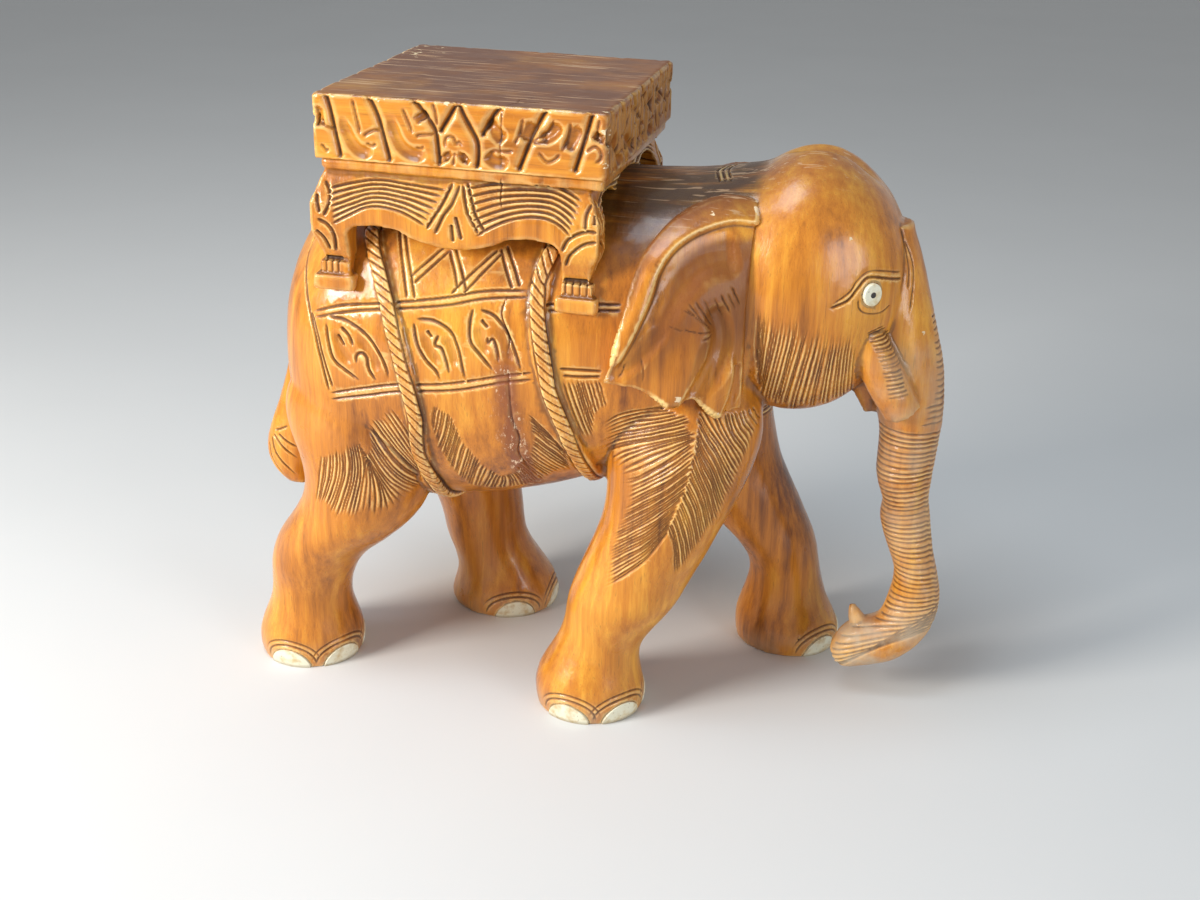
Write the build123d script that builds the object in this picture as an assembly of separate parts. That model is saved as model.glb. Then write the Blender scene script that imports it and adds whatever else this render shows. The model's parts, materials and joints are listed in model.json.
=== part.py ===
"""Carved elephant stool: a walking elephant in varnished hardwood with a seat block on its back.

Millimetres, +Z up, +X towards the elephant's head, +Y towards its left side. The origin is on the
floor, under the middle of the whole carving.
"""
import os
from math import cos, radians, sin

from build123d import *

# ---- seat block and the stand that carries it -------------------------------------------------
seat_height = 460.0          # floor to the top of the seat
seat_length = 204.0          # along X
seat_width = 214.0           # along Y
seat_thickness = 44.0        # the carved frieze band
seat_center_x = -74.0
seat_edge_round = 3.0
frieze_cut_width = 3.4
frieze_cut_depth = 2.0
# main cuts of the frieze on a long side: distance from the seat's middle and height in the band
FRIEZE_CUTS = [
    [(-91.0, 40.0), (-88.0, 27.0), (-83.0, 3.0)],
    [(-60.0, 40.0), (-55.0, 29.0), (-48.0, 3.0)],
    [(-27.0, 40.0), (-16.0, 25.0), (-13.0, 3.0)],
    [(-2.0, 40.0), (-12.0, 24.0)],
    [(3.0, 40.0), (14.0, 14.0), (13.0, 3.0)],
    [(27.0, 40.0), (17.0, 24.0)],
    [(58.0, 40.0), (49.0, 21.0), (42.0, 3.0)],
    [(90.0, 40.0), (87.0, 29.0), (80.0, 5.0)],
]

moulding_height = 8.0        # thin strip between the seat and the apron
moulding_inset = 3.5
apron_inset = 9.0            # how far the apron stands back from the seat's edge
apron_wall = 16.0
plate_height = 12.0          # solid top of the stand, below the moulding
stand_center_x = -79.0

stand_foot_z = 323.0
foot_block_height = 11.0
foot_block_length = 30.0     # along X
foot_block_width = 25.0      # along Y
ankle_height = 20.0          # above the foot block's sole
ankle_inset = 8.0
ring_inset = 4.0             # the beaded ring between ankle and foot block
knee_drop = 23.0             # from the apron's top to the widest part of the leg
knee_length = 20.0
arch_rise = 48.0             # foot to crown of the long-side arches
arch_shoulder = 10.0         # height of the rounded corner where an arch meets a leg
pendant_drop = 11.0          # centre pendant, below the arch crown
pendant_half_width = 7.0
end_arch_rise = 75.0         # foot to crown of the end arches
saddle_half_width = 36.0     # middle of the end apron, which sits on the elephant's back

# ---- elephant: torso --------------------------------------------------------------------------
head_joint_x = 120.0         # flat glued joint between torso and head
NECK = (242.0, 413.0, 72.0)  # bottom, top and half width of the neck at the joint
# x, bottom, top, half width
TORSO = [
    (-233.0, 232.0, 288.0, 24.0),
    (-228.0, 205.0, 315.0, 50.0),
    (-217.0, 178.0, 342.0, 75.0),
    (-198.0, 157.0, 366.0, 95.0),
    (-170.0, 145.0, 385.0, 105.0),
    (-125.0, 142.0, 397.0, 110.0),
    (-75.0, 146.0, 400.0, 111.0),
    (-25.0, 159.0, 400.0, 109.0),
    (25.0, 177.0, 400.0, 103.0),
    (75.0, 194.0, 404.0, 92.0),
    (head_joint_x, *NECK),
]
chest_center = (70.0, 0.0, 226.0)
chest_radii = (57.0, 52.0, 42.0)

# rope girths in relief round the barrel, seen from the side: x and z of their middles
rope_width = 12.0
rope_relief = 4.0
ROPES = [
    [(-146.0, 362.0), (-127.0, 319.0), (-110.0, 256.0), (-106.0, 205.0), (-101.0, 120.0)],
    [(-14.0, 362.0), (-18.0, 320.0), (-9.0, 268.0), (2.0, 234.0), (13.0, 150.0)],
]

# ---- elephant: legs, as the animal walks (z, x, y, half length, half width) -------------------
LEGS = {
    "rear_right": [
        (0.0, -221.0, -50.0, 39.5, 39.0),
        (12.0, -221.0, -50.0, 41.5, 41.0),
        (30.0, -220.0, -51.0, 38.0, 38.0),
        (50.0, -218.0, -53.0, 32.0, 32.0),
        (75.0, -214.0, -56.0, 33.0, 33.0),
        (95.0, -206.0, -58.0, 37.0, 36.0),
        (120.0, -185.0, -60.0, 45.0, 40.0),
        (150.0, -165.0, -62.0, 48.0, 42.0),
        (190.0, -162.0, -62.0, 56.0, 44.0),
        (235.0, -166.0, -60.0, 56.0, 42.0),
        (270.0, -166.0, -56.0, 44.0, 34.0),
    ],
    "front_right": [
        (0.0, 16.0, -68.0, 40.0, 39.0),
        (12.0, 16.0, -68.0, 42.0, 41.0),
        (30.0, 16.0, -68.0, 38.5, 38.0),
        (50.0, 21.0, -67.0, 33.0, 32.0),
        (75.0, 32.0, -66.0, 36.0, 34.0),
        (107.0, 45.0, -65.0, 42.0, 37.0),
        (150.0, 63.0, -63.0, 44.0, 40.0),
        (190.0, 74.0, -60.0, 50.0, 44.0),
        (225.0, 77.0, -57.0, 57.0, 44.0),
        (255.0, 76.0, -52.0, 54.0, 38.0),
        (290.0, 70.0, -44.0, 40.0, 28.0),
    ],
    "rear_left": [
        (0.0, -94.0, 73.0, 43.0, 41.0),
        (12.0, -94.0, 73.0, 45.0, 43.0),
        (31.0, -96.0, 73.0, 39.0, 38.0),
        (59.0, -108.0, 70.0, 34.0, 33.0),
        (85.0, -113.0, 68.0, 34.5, 34.0),
        (110.0, -119.0, 66.0, 38.0, 37.0),
        (140.0, -131.0, 64.0, 47.0, 42.0),
        (190.0, -146.0, 62.0, 57.0, 44.0),
        (235.0, -156.0, 60.0, 56.0, 42.0),
        (270.0, -160.0, 56.0, 44.0, 34.0),
    ],
    "front_left": [
        (0.0, 150.0, 74.0, 41.0, 40.0),
        (12.0, 150.0, 74.0, 42.5, 42.0),
        (35.0, 147.0, 73.0, 36.0, 35.0),
        (68.0, 145.0, 71.0, 28.5, 31.0),
        (90.0, 137.0, 69.0, 32.0, 33.0),
        (110.0, 123.0, 68.0, 38.0, 35.0),
        (140.0, 107.0, 65.0, 40.0, 38.0),
        (165.0, 92.0, 64.0, 44.0, 41.0),
        (195.0, 81.0, 61.0, 48.0, 44.0),
        (225.0, 74.0, 57.0, 50.0, 44.0),
        (255.0, 70.0, 52.0, 48.0, 38.0),
        (290.0, 68.0, 44.0, 40.0, 28.0),
    ],
}
FOOT_SECTIONS = 4            # the lowest sections of a leg, which hold its toenails

# ---- elephant: tail, carved against the rump (z, x, y, half length, half width) ----------------
TAIL = [
    (342.0, -206.0, 0.0, 12.0, 9.0),
    (297.0, -226.0, 0.0, 12.0, 10.0),
    (253.0, -234.0, -1.0, 12.5, 10.0),
    (210.0, -240.0, -4.0, 14.0, 11.0),
    (166.0, -249.0, -7.0, 19.5, 14.0),
    (126.0, -243.0, -8.0, 11.0, 9.0),
]

# ---- elephant: head (x, bottom, top, half width) ----------------------------------------------
HEAD = [
    (head_joint_x, *NECK),
    (138.0, 237.0, 423.0, 75.0),
    (157.0, 237.0, 426.0, 73.0),
    (176.0, 243.0, 421.0, 67.0),
    (194.0, 257.0, 408.0, 58.0),
    (208.0, 277.0, 391.0, 47.0),
    (217.0, 298.0, 372.0, 34.0),
    (221.0, 318.0, 354.0, 18.0),
]
# trunk, from the forehead to its tip: x, z, half depth, half width
TRUNK = [
    (201.0, 375.0, 22.0, 19.0),
    (207.0, 349.0, 25.0, 27.0),
    (214.0, 322.0, 26.0, 31.0),
    (222.0, 292.0, 27.0, 31.0),
    (229.0, 262.0, 27.0, 29.0),
    (234.0, 238.0, 23.5, 26.0),
    (235.0, 212.0, 21.5, 23.5),
    (237.5, 170.0, 17.0, 20.0),
    (245.5, 130.0, 16.0, 18.0),
    (252.0, 100.0, 17.5, 17.0),
    (248.0, 70.0, 20.0, 17.0),
    (234.0, 52.0, 20.0, 18.0),
    (217.0, 44.0, 19.5, 18.0),
    (205.0, 36.0, 15.0, 17.0),
    (197.0, 31.0, 9.0, 12.0),
]
# finger at the trunk's tip and pointed lower lip: x, z, radius
TRUNK_FINGER = [(216.0, 56.0, 8.0), (209.0, 67.0, 5.5), (206.0, 75.0, 2.5)]
LOWER_LIP = [(196.0, 266.0, 13.0), (201.0, 250.0, 8.0), (204.0, 234.0, 2.0)]
# tusk sheath: x, distance from the middle, z, radius
SHEATH = [
    (190.0, 36.0, 322.0, 9.0),
    (201.0, 38.0, 302.0, 13.0),
    (214.0, 36.0, 277.0, 14.5),
    (230.0, 31.0, 249.0, 13.0),
]

# ---- ears: side outline, x and z --------------------------------------------------------------
ear_front_top = 397.0
ear_front_bottom = 256.0
EAR_RIM = [(81.0, 394.0), (56.0, 374.0), (43.0, 331.0), (31.0, 281.0)]
EAR_LOWER = [(53.0, 277.0), (73.0, 266.0), (90.0, 268.0), (106.0, 254.0)]
# outer face of the ears, wider than the torso (x, bottom, top, half width)
EAR_SHELL = [
    (-40.0, 140.0, 412.0, 127.0),
    (30.0, 165.0, 416.0, 119.0),
    (75.0, 180.0, 416.0, 107.0),
    (head_joint_x, 190.0, 416.0, 80.0),
]

# ---- inlays -----------------------------------------------------------------------------------
eye_x = 201.5
eye_z = 340.0
eye_length = 14.0
eye_height = 16.0
eye_depth = 7.0              # inside the head
eye_proud = 1.6
eye_turn = 38.0              # how far an eye looks forward, in degrees
pupil_diameter = 4.2
pupil_depth = 3.0

tusk_length = 52.0           # outside its sheath
tusk_base_diameter = 10.0
tusk_tip_diameter = 4.0
tusk_root_length = 16.0      # inside its sheath
tusk_stub_length = 2.0       # what is left of the broken right tusk, outside its sheath

nail_width = 33.0
nail_height = 15.0
nail_depth = 4.0
nail_proud = 0.8
# degrees from straight ahead, towards the left side
NAIL_ANGLES = {
    "rear_right": (-95.0, -30.0, 35.0),
    "front_right": (-102.0, -38.0, 26.0),
    "rear_left": (-62.0, 4.0, 70.0),
    "front_left": (-38.0, 28.0, 94.0),
}

# ---- hidden dowels ----------------------------------------------------------------------------
dowel_clearance = 0.1        # around a dowel, and at each end of its hole
neck_dowel_diameter = 10.0
neck_dowel_length = 60.0
neck_dowel_spacing = 70.0
neck_dowel_z = 326.0
seat_dowel_diameter = 8.0
seat_dowel_length = 24.0
seat_dowel_inset = 22.0      # from the seat's edges
stand_peg_diameter = 6.0
stand_peg_length = 46.0
stand_peg_height = 26.0      # its middle, above the foot block's sole
ear_peg_diameter = 6.0
ear_peg_length = 18.0
ear_peg_x = 78.0
ear_peg_z = 330.0

# ---- derived heights --------------------------------------------------------------------------
seat_bottom = seat_height - seat_thickness
apron_top = seat_bottom - moulding_height
plate_bottom = apron_top - plate_height

OVAL_POINTS = 16             # points that a section's curve passes through
BODY_FULLNESS = 2.25         # power of the torso's and head's ovals: 2 is an ellipse, more is squarer
FAR = 400.0                  # longer than any part of the carving that is cut through


# ---- helpers ----------------------------------------------------------------------------------
def rounded(value, power):
    return (1 if value >= 0 else -1) * abs(value) ** (2 / power)


def oval(half_x, half_y, power=2.0):
    """A superellipse drawn as one closed curve that always starts on its own +X axis."""
    turns = [radians(360 * i / OVAL_POINTS) for i in range(OVAL_POINTS)]
    points = [(half_x * rounded(cos(t), power), half_y * rounded(sin(t), power)) for t in turns]
    return make_face(Spline(*points, periodic=True))


def upright_section(x, bottom, top, half_width):
    """An oval across the body at x."""
    plane = Plane(origin=(x, 0, (bottom + top) / 2), x_dir=(0, 1, 0), z_dir=(1, 0, 0))
    return plane * oval(half_width, (top - bottom) / 2, BODY_FULLNESS)


def level_section(z, x, y, half_length, half_width, grow=0.0):
    """A level oval at height z, enlarged all round by grow."""
    return Plane(origin=(x, y, z)) * oval(half_length + grow, half_width + grow)


def leg_solid(sections, grow=0.0):
    return loft([level_section(*s, grow=grow) for s in sections])


def path_loft(points, half_depths, half_widths):
    """Ovals along a path, each square to it."""
    sections = []
    for i, point in enumerate(points):
        before, after = points[max(i - 1, 0)], points[min(i + 1, len(points) - 1)]
        plane = Plane(origin=point, x_dir=(0, 1, 0), z_dir=Vector(*after) - Vector(*before))
        sections.append(plane * oval(half_widths[i], half_depths[i]))
    return loft(sections)


def middle_rod(rows):
    """A tapered rod in the middle plane through rows of x, z and radius."""
    radii = [radius for _, _, radius in rows]
    return path_loft([(x, 0, z) for x, z, _ in rows], radii, radii)


def largest_solid(shape):
    return max(shape.solids(), key=lambda solid: solid.volume)


def skin_y(solid, x, z, side):
    """How far out the solid's right (-1) or left (+1) side lies at x and z."""
    probe = Pos(x, side * FAR / 2, z) * Box(0.4, FAR, 0.4)
    box = (solid & probe).bounding_box()
    return box.max.Y if side > 0 else box.min.Y


# ---- body and head ----------------------------------------------------------------------------
def barrel(rows):
    """A loft along X through upright sections."""
    return loft([upright_section(*row) for row in rows])


def rope_solids():
    """Bands that stand proud of the torso, cut out of a torso that is larger all round."""
    around = [(x, bottom - rope_relief, top + rope_relief, half_width + rope_relief)
              for x, bottom, top, half_width in TORSO]
    half = rope_width / 2
    for line in ROPES:
        rear, front = ([(x + shift, z) for x, z in line] for shift in (-half, half))
        outline = Spline(*rear) + Line(rear[-1], front[-1]) + Spline(*front) + Line(rear[0], front[0])
        yield barrel(around) & extrude(Plane.XZ * make_face(outline), amount=FAR, both=True)


def body_solid():
    body = barrel(TORSO)
    for rope in rope_solids():
        body += rope
    for sections in LEGS.values():
        body += leg_solid(sections)
    body += Pos(*chest_center) * scale(Sphere(1), by=chest_radii)
    return body + leg_solid(TAIL)


def trunk_solid():
    points = [(x, 0, z) for x, z, _, _ in TRUNK]
    return path_loft(points, [depth for _, _, depth, _ in TRUNK], [width for *_, width in TRUNK])


def sheath_solid(side):
    radii = [radius for *_, radius in SHEATH]
    return path_loft([(x, side * y, z) for x, y, z, _ in SHEATH], radii, radii)


def head_solid():
    skull = barrel(HEAD)
    extras = [trunk_solid(), middle_rod(TRUNK_FINGER), middle_rod(LOWER_LIP)]
    extras += [sheath_solid(side) for side in (1, -1)]
    for extra in extras:
        skull += extra
    return skull


def ear_solid(side, body, head):
    """A thick leaf in relief: it follows the shoulder, between its side outline and the body."""
    rim = Spline((head_joint_x, ear_front_top), *EAR_RIM)
    lower = Polyline(EAR_RIM[-1], *EAR_LOWER, (head_joint_x, ear_front_bottom))
    front = Line((head_joint_x, ear_front_bottom), (head_joint_x, ear_front_top))
    prism = extrude(Plane.XZ * make_face(rim + lower + front), amount=-side * FAR)
    return largest_solid((barrel(EAR_SHELL) & prism) - body - head)


# ---- stand and seat ---------------------------------------------------------------------------
def leg_outline(edge, foot_length):
    """One stand leg seen square on, from the apron's top down its outside to its inside."""
    knee_top = apron_top - knee_drop
    ankle_z = stand_foot_z + ankle_height
    block_top = stand_foot_z + foot_block_height
    inner = edge - foot_length
    return [
        (edge - apron_inset, apron_top),
        (edge, knee_top),
        (edge, knee_top - knee_length),
        (edge - ankle_inset, ankle_z),
        (edge - ring_inset, ankle_z),
        (edge - ring_inset, block_top),
        (edge, block_top),
        (edge, stand_foot_z),
        (inner, stand_foot_z),
        (inner, block_top),
        (inner + ring_inset, block_top),
    ]


def long_side_outline():
    """The stand from its long side: two legs, two low arches and a pendant between them."""
    edge = seat_length / 2
    crown = stand_foot_z + arch_rise
    leg = leg_outline(edge, foot_block_length)
    inner = leg[-1][0]
    shoulder = (inner, crown - arch_shoulder)
    pendant = (pendant_half_width, crown - pendant_drop)
    outline = Polyline((0, apron_top), *leg, shoulder)
    outline += Spline(shoulder, (inner - arch_shoulder, crown), (inner / 2, crown - 1.0), pendant,
                      tangents=[(0, 1), (-1, -0.2)])
    outline += Polyline(pendant, (0, pendant[1]), (0, apron_top))
    half = make_face(outline)
    return half + mirror(half, about=Plane.YZ)


def end_outline():
    """The stand from its end: two legs, two arches and a middle that rests on the back."""
    edge = seat_width / 2
    crown = stand_foot_z + end_arch_rise
    leg = leg_outline(edge, foot_block_width)
    inner = leg[-1][0]
    shoulder = (inner, crown - 2 * arch_shoulder)
    saddle = (saddle_half_width, crown - 2 * arch_shoulder)
    outline = Polyline((0, apron_top), *leg, shoulder)
    outline += Spline(shoulder, ((inner + saddle[0]) / 2, crown), saddle, tangents=[(0, 1), (0, -1)])
    outline += Polyline(saddle, (saddle[0], stand_foot_z), (0, stand_foot_z), (0, apron_top))
    half = make_face(outline)
    return half + mirror(half, about=Plane.YZ)


def stand_solid(body):
    """Moulding, aprons and legs in one carved block that sits astride the back."""
    from_side = Plane(origin=(stand_center_x, FAR / 2, 0), x_dir=(1, 0, 0), z_dir=(0, -1, 0))
    from_end = Plane(origin=(stand_center_x - FAR / 2, 0, 0), x_dir=(0, 1, 0), z_dir=(1, 0, 0))
    carved = extrude(from_side * long_side_outline(), amount=FAR)
    carved &= extrude(from_end * end_outline(), amount=FAR)
    margin = 2 * (apron_inset + apron_wall)
    depth = plate_bottom - stand_foot_z
    hollow = Box(seat_length - margin, seat_width - margin, 2 * depth)
    carved -= Pos(stand_center_x, 0, plate_bottom - depth) * hollow
    moulding = Box(seat_length - 2 * moulding_inset, seat_width - 2 * moulding_inset, moulding_height)
    carved += Pos(seat_center_x, 0, apron_top + moulding_height / 2) * moulding
    return largest_solid(carved - body)


def frieze_cutters(face_length):
    """The frieze's main cuts, stretched to a face and laid in its plane: x along it, y up it."""
    stretch = face_length / seat_length
    half = frieze_cut_width / 2
    for line in FRIEZE_CUTS:
        left = [(s * stretch - half, height - seat_thickness / 2) for s, height in line]
        right = [(s * stretch + half, height - seat_thickness / 2) for s, height in line]
        yield make_face(Polyline(*left, *reversed(right), close=True))


def seat_solid():
    block = Box(seat_length, seat_width, seat_thickness)
    worn_edges = block.edges().filter_by(Axis.Z) + block.edges().group_by(Axis.Z)[-1]
    block = fillet(worn_edges, seat_edge_round)
    for turn in range(4):
        along, across = (seat_length, seat_width) if turn % 2 == 0 else (seat_width, seat_length)
        face = Rot(0, 0, 90 * turn) * Plane.XZ.offset(across / 2)
        cutters = [extrude(face * cut, amount=-frieze_cut_depth) for cut in frieze_cutters(along)]
        block -= cutters
    return Pos(seat_center_x, 0, seat_height - seat_thickness / 2) * block


# ---- inlays -----------------------------------------------------------------------------------
def eye_solids(head, side):
    """A pale oval plug let into the head, and a dark pupil let into the plug."""
    skin = Vector(eye_x, skin_y(head, eye_x, eye_z, side), eye_z)
    outward = Vector(sin(radians(eye_turn)), side * cos(radians(eye_turn)), 0)
    across = Vector(-outward.Y, outward.X, 0)
    back = Plane(origin=skin - outward * eye_depth, x_dir=across, z_dir=outward)
    white = extrude(back * Ellipse(eye_length / 2, eye_height / 2), amount=eye_depth + eye_proud)
    rim = max(white.faces(), key=lambda face: face.center().dot(outward)).edges()
    white = fillet(rim, eye_proud / 2)
    front = Plane(origin=skin + outward * (eye_proud - pupil_depth), z_dir=outward)
    pupil = extrude(front * Circle(pupil_diameter / 2), amount=pupil_depth)
    return white - pupil, pupil


def tusk_solid(side, length, end_diameter):
    """A tusk along its sheath: a straight root inside and a taper outside."""
    before, end = [Vector(x, side * y, z) for x, y, z, _ in SHEATH[-2:]]
    along = (end - before).normalized()
    stations = [
        (end - along * tusk_root_length, tusk_base_diameter),
        (end, tusk_base_diameter),
        (end + along * length, end_diameter),
    ]
    planes = [Plane(origin=place, x_dir=(0, 1, 0), z_dir=along) for place, _ in stations]
    discs = [plane * Circle(width / 2) for plane, (_, width) in zip(planes, stations)]
    return loft(discs, ruled=True)


def nail_solid(leg, angle):
    """A thin half oval let into the front of a foot, down to its sole."""
    _, x, y, _, _ = LEGS[leg][0]
    outline = Ellipse(nail_width / 2, nail_height) & Pos(0, FAR / 2) * Rectangle(FAR, FAR)
    outward = (cos(radians(angle)), sin(radians(angle)), 0)
    across = (-sin(radians(angle)), cos(radians(angle)), 0)
    prism = extrude(Plane(origin=(x, y, 0), x_dir=across, z_dir=outward) * outline, amount=FAR)
    foot = LEGS[leg][:FOOT_SECTIONS]
    return largest_solid((prism & leg_solid(foot, nail_proud)) - leg_solid(foot, -nail_depth))


# ---- hidden dowels ----------------------------------------------------------------------------
def dowel_rows(ear_skins):
    """Each dowel: name, centre, direction, diameter, length and the two nodes that it joins."""
    rows = []
    for name, up in (("upper", 1), ("lower", -1)):
        centre = (head_joint_x, 0, neck_dowel_z + up * neck_dowel_spacing / 2)
        rows.append((f"neck_dowel_{name}", centre, (1, 0, 0), neck_dowel_diameter,
                     neck_dowel_length, ("body_block", "head_block")))
    for end, ahead in (("front", 1), ("rear", -1)):
        for hand, side in (("left", 1), ("right", -1)):
            x = seat_center_x + ahead * (seat_length / 2 - seat_dowel_inset)
            y = side * (seat_width / 2 - seat_dowel_inset)
            rows.append((f"seat_dowel_{end}_{hand}", (x, y, seat_bottom), (0, 0, 1),
                         seat_dowel_diameter, seat_dowel_length, ("howdah_stand", "seat_block")))
            x = stand_center_x + ahead * (seat_length / 2 - (foot_block_length + ring_inset) / 2)
            y = side * (seat_width / 2 - (foot_block_width + ring_inset) / 2)
            rows.append((f"stand_peg_{end}_{hand}", (x, y, stand_foot_z + stand_peg_height),
                         (0, 0, 1), stand_peg_diameter, stand_peg_length,
                         ("body_block", "howdah_stand")))
    for hand, side in (("left", 1), ("right", -1)):
        centre = (ear_peg_x, ear_skins[side], ear_peg_z)
        rows.append((f"ear_peg_{hand}", centre, (0, 1, 0), ear_peg_diameter, ear_peg_length,
                     ("body_block", f"ear_{hand}")))
    return rows


def rod(centre, direction, diameter, length):
    return Plane(origin=centre, z_dir=direction) * Cylinder(diameter / 2, length)


# ---- assembly ---------------------------------------------------------------------------------
def build_nodes():
    nodes = {"seat_block": seat_solid()}
    head = head_solid()
    body = body_solid() - head
    nodes["howdah_stand"] = stand_solid(body)
    for hand, side in (("left", 1), ("right", -1)):
        nodes[f"ear_{hand}"] = ear_solid(side, body, head)
        white, pupil = eye_solids(head, side)
        nodes[f"eye_white_{hand}"] = white
        nodes[f"eye_pupil_{hand}"] = pupil
        head = head - white - pupil
    nodes["tusk_left"] = tusk_solid(1, tusk_length, tusk_tip_diameter)
    nodes["tusk_stub_right"] = tusk_solid(-1, tusk_stub_length, tusk_base_diameter)
    head = head - nodes["tusk_left"] - nodes["tusk_stub_right"]
    for leg, angles in NAIL_ANGLES.items():
        for number, angle in enumerate(angles, start=1):
            nail = nail_solid(leg, angle)
            nodes[f"toenail_{leg}_{number}"] = nail
            body = body - nail
    ear_skins = {side: skin_y(body, ear_peg_x, ear_peg_z, side) for side in (1, -1)}
    nodes["body_block"] = body
    nodes["head_block"] = head
    for name, centre, direction, diameter, length, joined in dowel_rows(ear_skins):
        nodes[name] = rod(centre, direction, diameter, length)
        hole = rod(centre, direction, diameter + 2 * dowel_clearance, length + 2 * dowel_clearance)
        for node in joined:
            nodes[node] = nodes[node] - hole
    return nodes


def main():
    os.makedirs("parts", exist_ok=True)
    for name, shape in build_nodes().items():
        shape.label = name
        export_step(shape, f"parts/{name}.step")


main()
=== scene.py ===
"""Looks of the carved elephant stool: hand-carved, varnished hardwood with bone inlays.

Lengths inside this file are millimetres and become metres when a mesh is written. The axes are the
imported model's own: +X towards the elephant's head, +Y towards its left side, +Z up.
"""
import json
import logging
import math
from contextlib import contextmanager
from dataclasses import dataclass, replace
from enum import Enum
from typing import Callable, Iterable, Iterator, Optional, Sequence, Union

import bmesh
import bpy
import numpy as np
from mathutils import Matrix, Vector, noise
from mathutils.bvhtree import BVHTree
from mathutils.kdtree import KDTree

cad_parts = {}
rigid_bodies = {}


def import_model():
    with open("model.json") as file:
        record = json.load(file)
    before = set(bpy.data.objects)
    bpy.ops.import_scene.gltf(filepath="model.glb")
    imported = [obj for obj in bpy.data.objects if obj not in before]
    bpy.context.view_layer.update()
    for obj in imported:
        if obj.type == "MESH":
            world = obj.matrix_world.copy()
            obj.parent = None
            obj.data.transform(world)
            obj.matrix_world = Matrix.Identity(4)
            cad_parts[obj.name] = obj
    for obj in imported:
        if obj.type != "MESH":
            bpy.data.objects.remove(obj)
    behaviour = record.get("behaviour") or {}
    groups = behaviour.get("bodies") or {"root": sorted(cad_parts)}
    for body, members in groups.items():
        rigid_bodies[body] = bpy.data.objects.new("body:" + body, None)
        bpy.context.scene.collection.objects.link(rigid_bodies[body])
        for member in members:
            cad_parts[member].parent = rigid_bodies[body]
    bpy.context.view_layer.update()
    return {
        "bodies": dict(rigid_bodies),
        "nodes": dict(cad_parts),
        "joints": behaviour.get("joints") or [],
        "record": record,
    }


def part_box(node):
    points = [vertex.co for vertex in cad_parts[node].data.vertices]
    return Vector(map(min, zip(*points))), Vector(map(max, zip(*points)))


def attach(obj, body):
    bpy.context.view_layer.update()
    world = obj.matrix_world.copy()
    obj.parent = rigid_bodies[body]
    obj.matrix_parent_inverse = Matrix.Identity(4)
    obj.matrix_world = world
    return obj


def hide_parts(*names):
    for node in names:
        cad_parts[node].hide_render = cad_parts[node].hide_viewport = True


log = logging.getLogger("elephant_stool")

MM = 0.001                      # metres in a millimetre
BODY = "root"                   # the one body of a piece of furniture without joints
FAR = 400.0                     # further out than any surface of the carving

Nodes = Sequence[bpy.types.Object]
Path = Sequence[Sequence[float]]


# ---- strokes: what the carver's tools leave ---------------------------------------------------
class View(Enum):
    """The side that a stroke is drawn from: which axes its points hold, and where they look."""

    RIGHT = ("xz", -1)
    LEFT = ("xz", 1)
    TOP = ("xy", 1)
    FRONT = ("yz", 1)
    REAR = ("yz", -1)

    @property
    def flat_axes(self) -> list:
        """The numbers of the two axes that a path holds."""
        return ["xyz".index(letter) for letter in self.value[0]]

    @property
    def deep_axis(self) -> int:
        """The number of the axis that the view looks along."""
        return 3 - sum(self.flat_axes)


SIDES = (View.RIGHT, View.LEFT)


class Profile(Enum):
    """The shape across a stroke."""

    VEE = "a knife groove"
    GOUGE = "a round hollow"
    FOLD = "a soft ridge with one steep side, on the right of its path"
    ROPE = "a raised, twisted cord"


@dataclass(frozen=True)
class Tool:
    """What a stroke is cut with.

    Args:
        profile: the shape across the stroke.
        half_width: from the stroke's middle to its edge.
        depth: how deep it is, or how high a raised band stands.
        tapers: the shares of its length over which it fades in and out.
        dirt_and_shade: how much grime stays in the cut; in a gouge's hollow, at a fold's steep side and in a
            rope's cuts this darkening is also painted shade.
    """

    profile: Profile = Profile.VEE
    half_width: float = 1.3
    depth: float = 1.1
    tapers: tuple = (0.06, 0.06)
    dirt_and_shade: float = 1.0


def between(low: float, high: float, x: np.ndarray) -> np.ndarray:
    """A smooth step from 0 at low to 1 at high."""
    t = np.clip((x - low) / (high - low), 0, 1)
    return t * t * (3 - 2 * t)


def even_samples(points: np.ndarray, step: float) -> np.ndarray:
    """Places samples at equal distances along a polyline."""
    lengths = np.linalg.norm(np.diff(points, axis=0), axis=1)
    along = np.concatenate([[0.0], np.cumsum(lengths)])
    count = max(int(along[-1] / step), 1) + 1
    stations = np.linspace(0, along[-1], count)
    return np.stack([np.interp(stations, along, points[:, k]) for k in range(points.shape[1])], 1)


def smooth_path(points: Path, step: float) -> np.ndarray:
    """Runs a smooth curve through points and places samples along it.

    Args:
        points: at least two points of any dimension.
        step: distance between samples.

    Returns:
        The samples, one row each.
    """
    raw = np.array(points, float)
    if len(raw) > 2:
        ends = np.vstack([2 * raw[0] - raw[1], raw, 2 * raw[-1] - raw[-2]])
        t = np.linspace(0, 1, 12, endpoint=False)[:, None]
        spans = []
        for a, b, c, d in zip(ends[:-3], ends[1:-2], ends[2:-1], ends[3:]):
            spans.append(0.5 * (2 * b + (c - a) * t + (2 * a - 5 * b + 4 * c - d) * t ** 2
                                + (3 * b - a - 3 * c + d) * t ** 3))
        raw = np.vstack(spans + [raw[-1:]])
    return even_samples(raw, step)


SAMPLE_STEP = 0.55              # between a stroke's samples
HOOP_PLACES = 160               # samples of a hoop before they are evened out
HOOP_SEARCHES = 3               # rounds in which a hoop finds its height on the surface
ARCH_PLACES = 70                # samples of the line over a toenail
SHARES = 9                      # points of a hair groove or an arch line


class Mark:
    """A tool mark: what it is cut with, and where it lands on a surface."""

    tool: Tool

    def landed(self, tree: BVHTree) -> np.ndarray:
        """Returns the places on the surface that the mark runs through."""
        raise NotImplementedError

    @property
    def mirrored(self) -> bool:
        """Whether its right-hand side lies on the left."""
        return False


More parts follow.
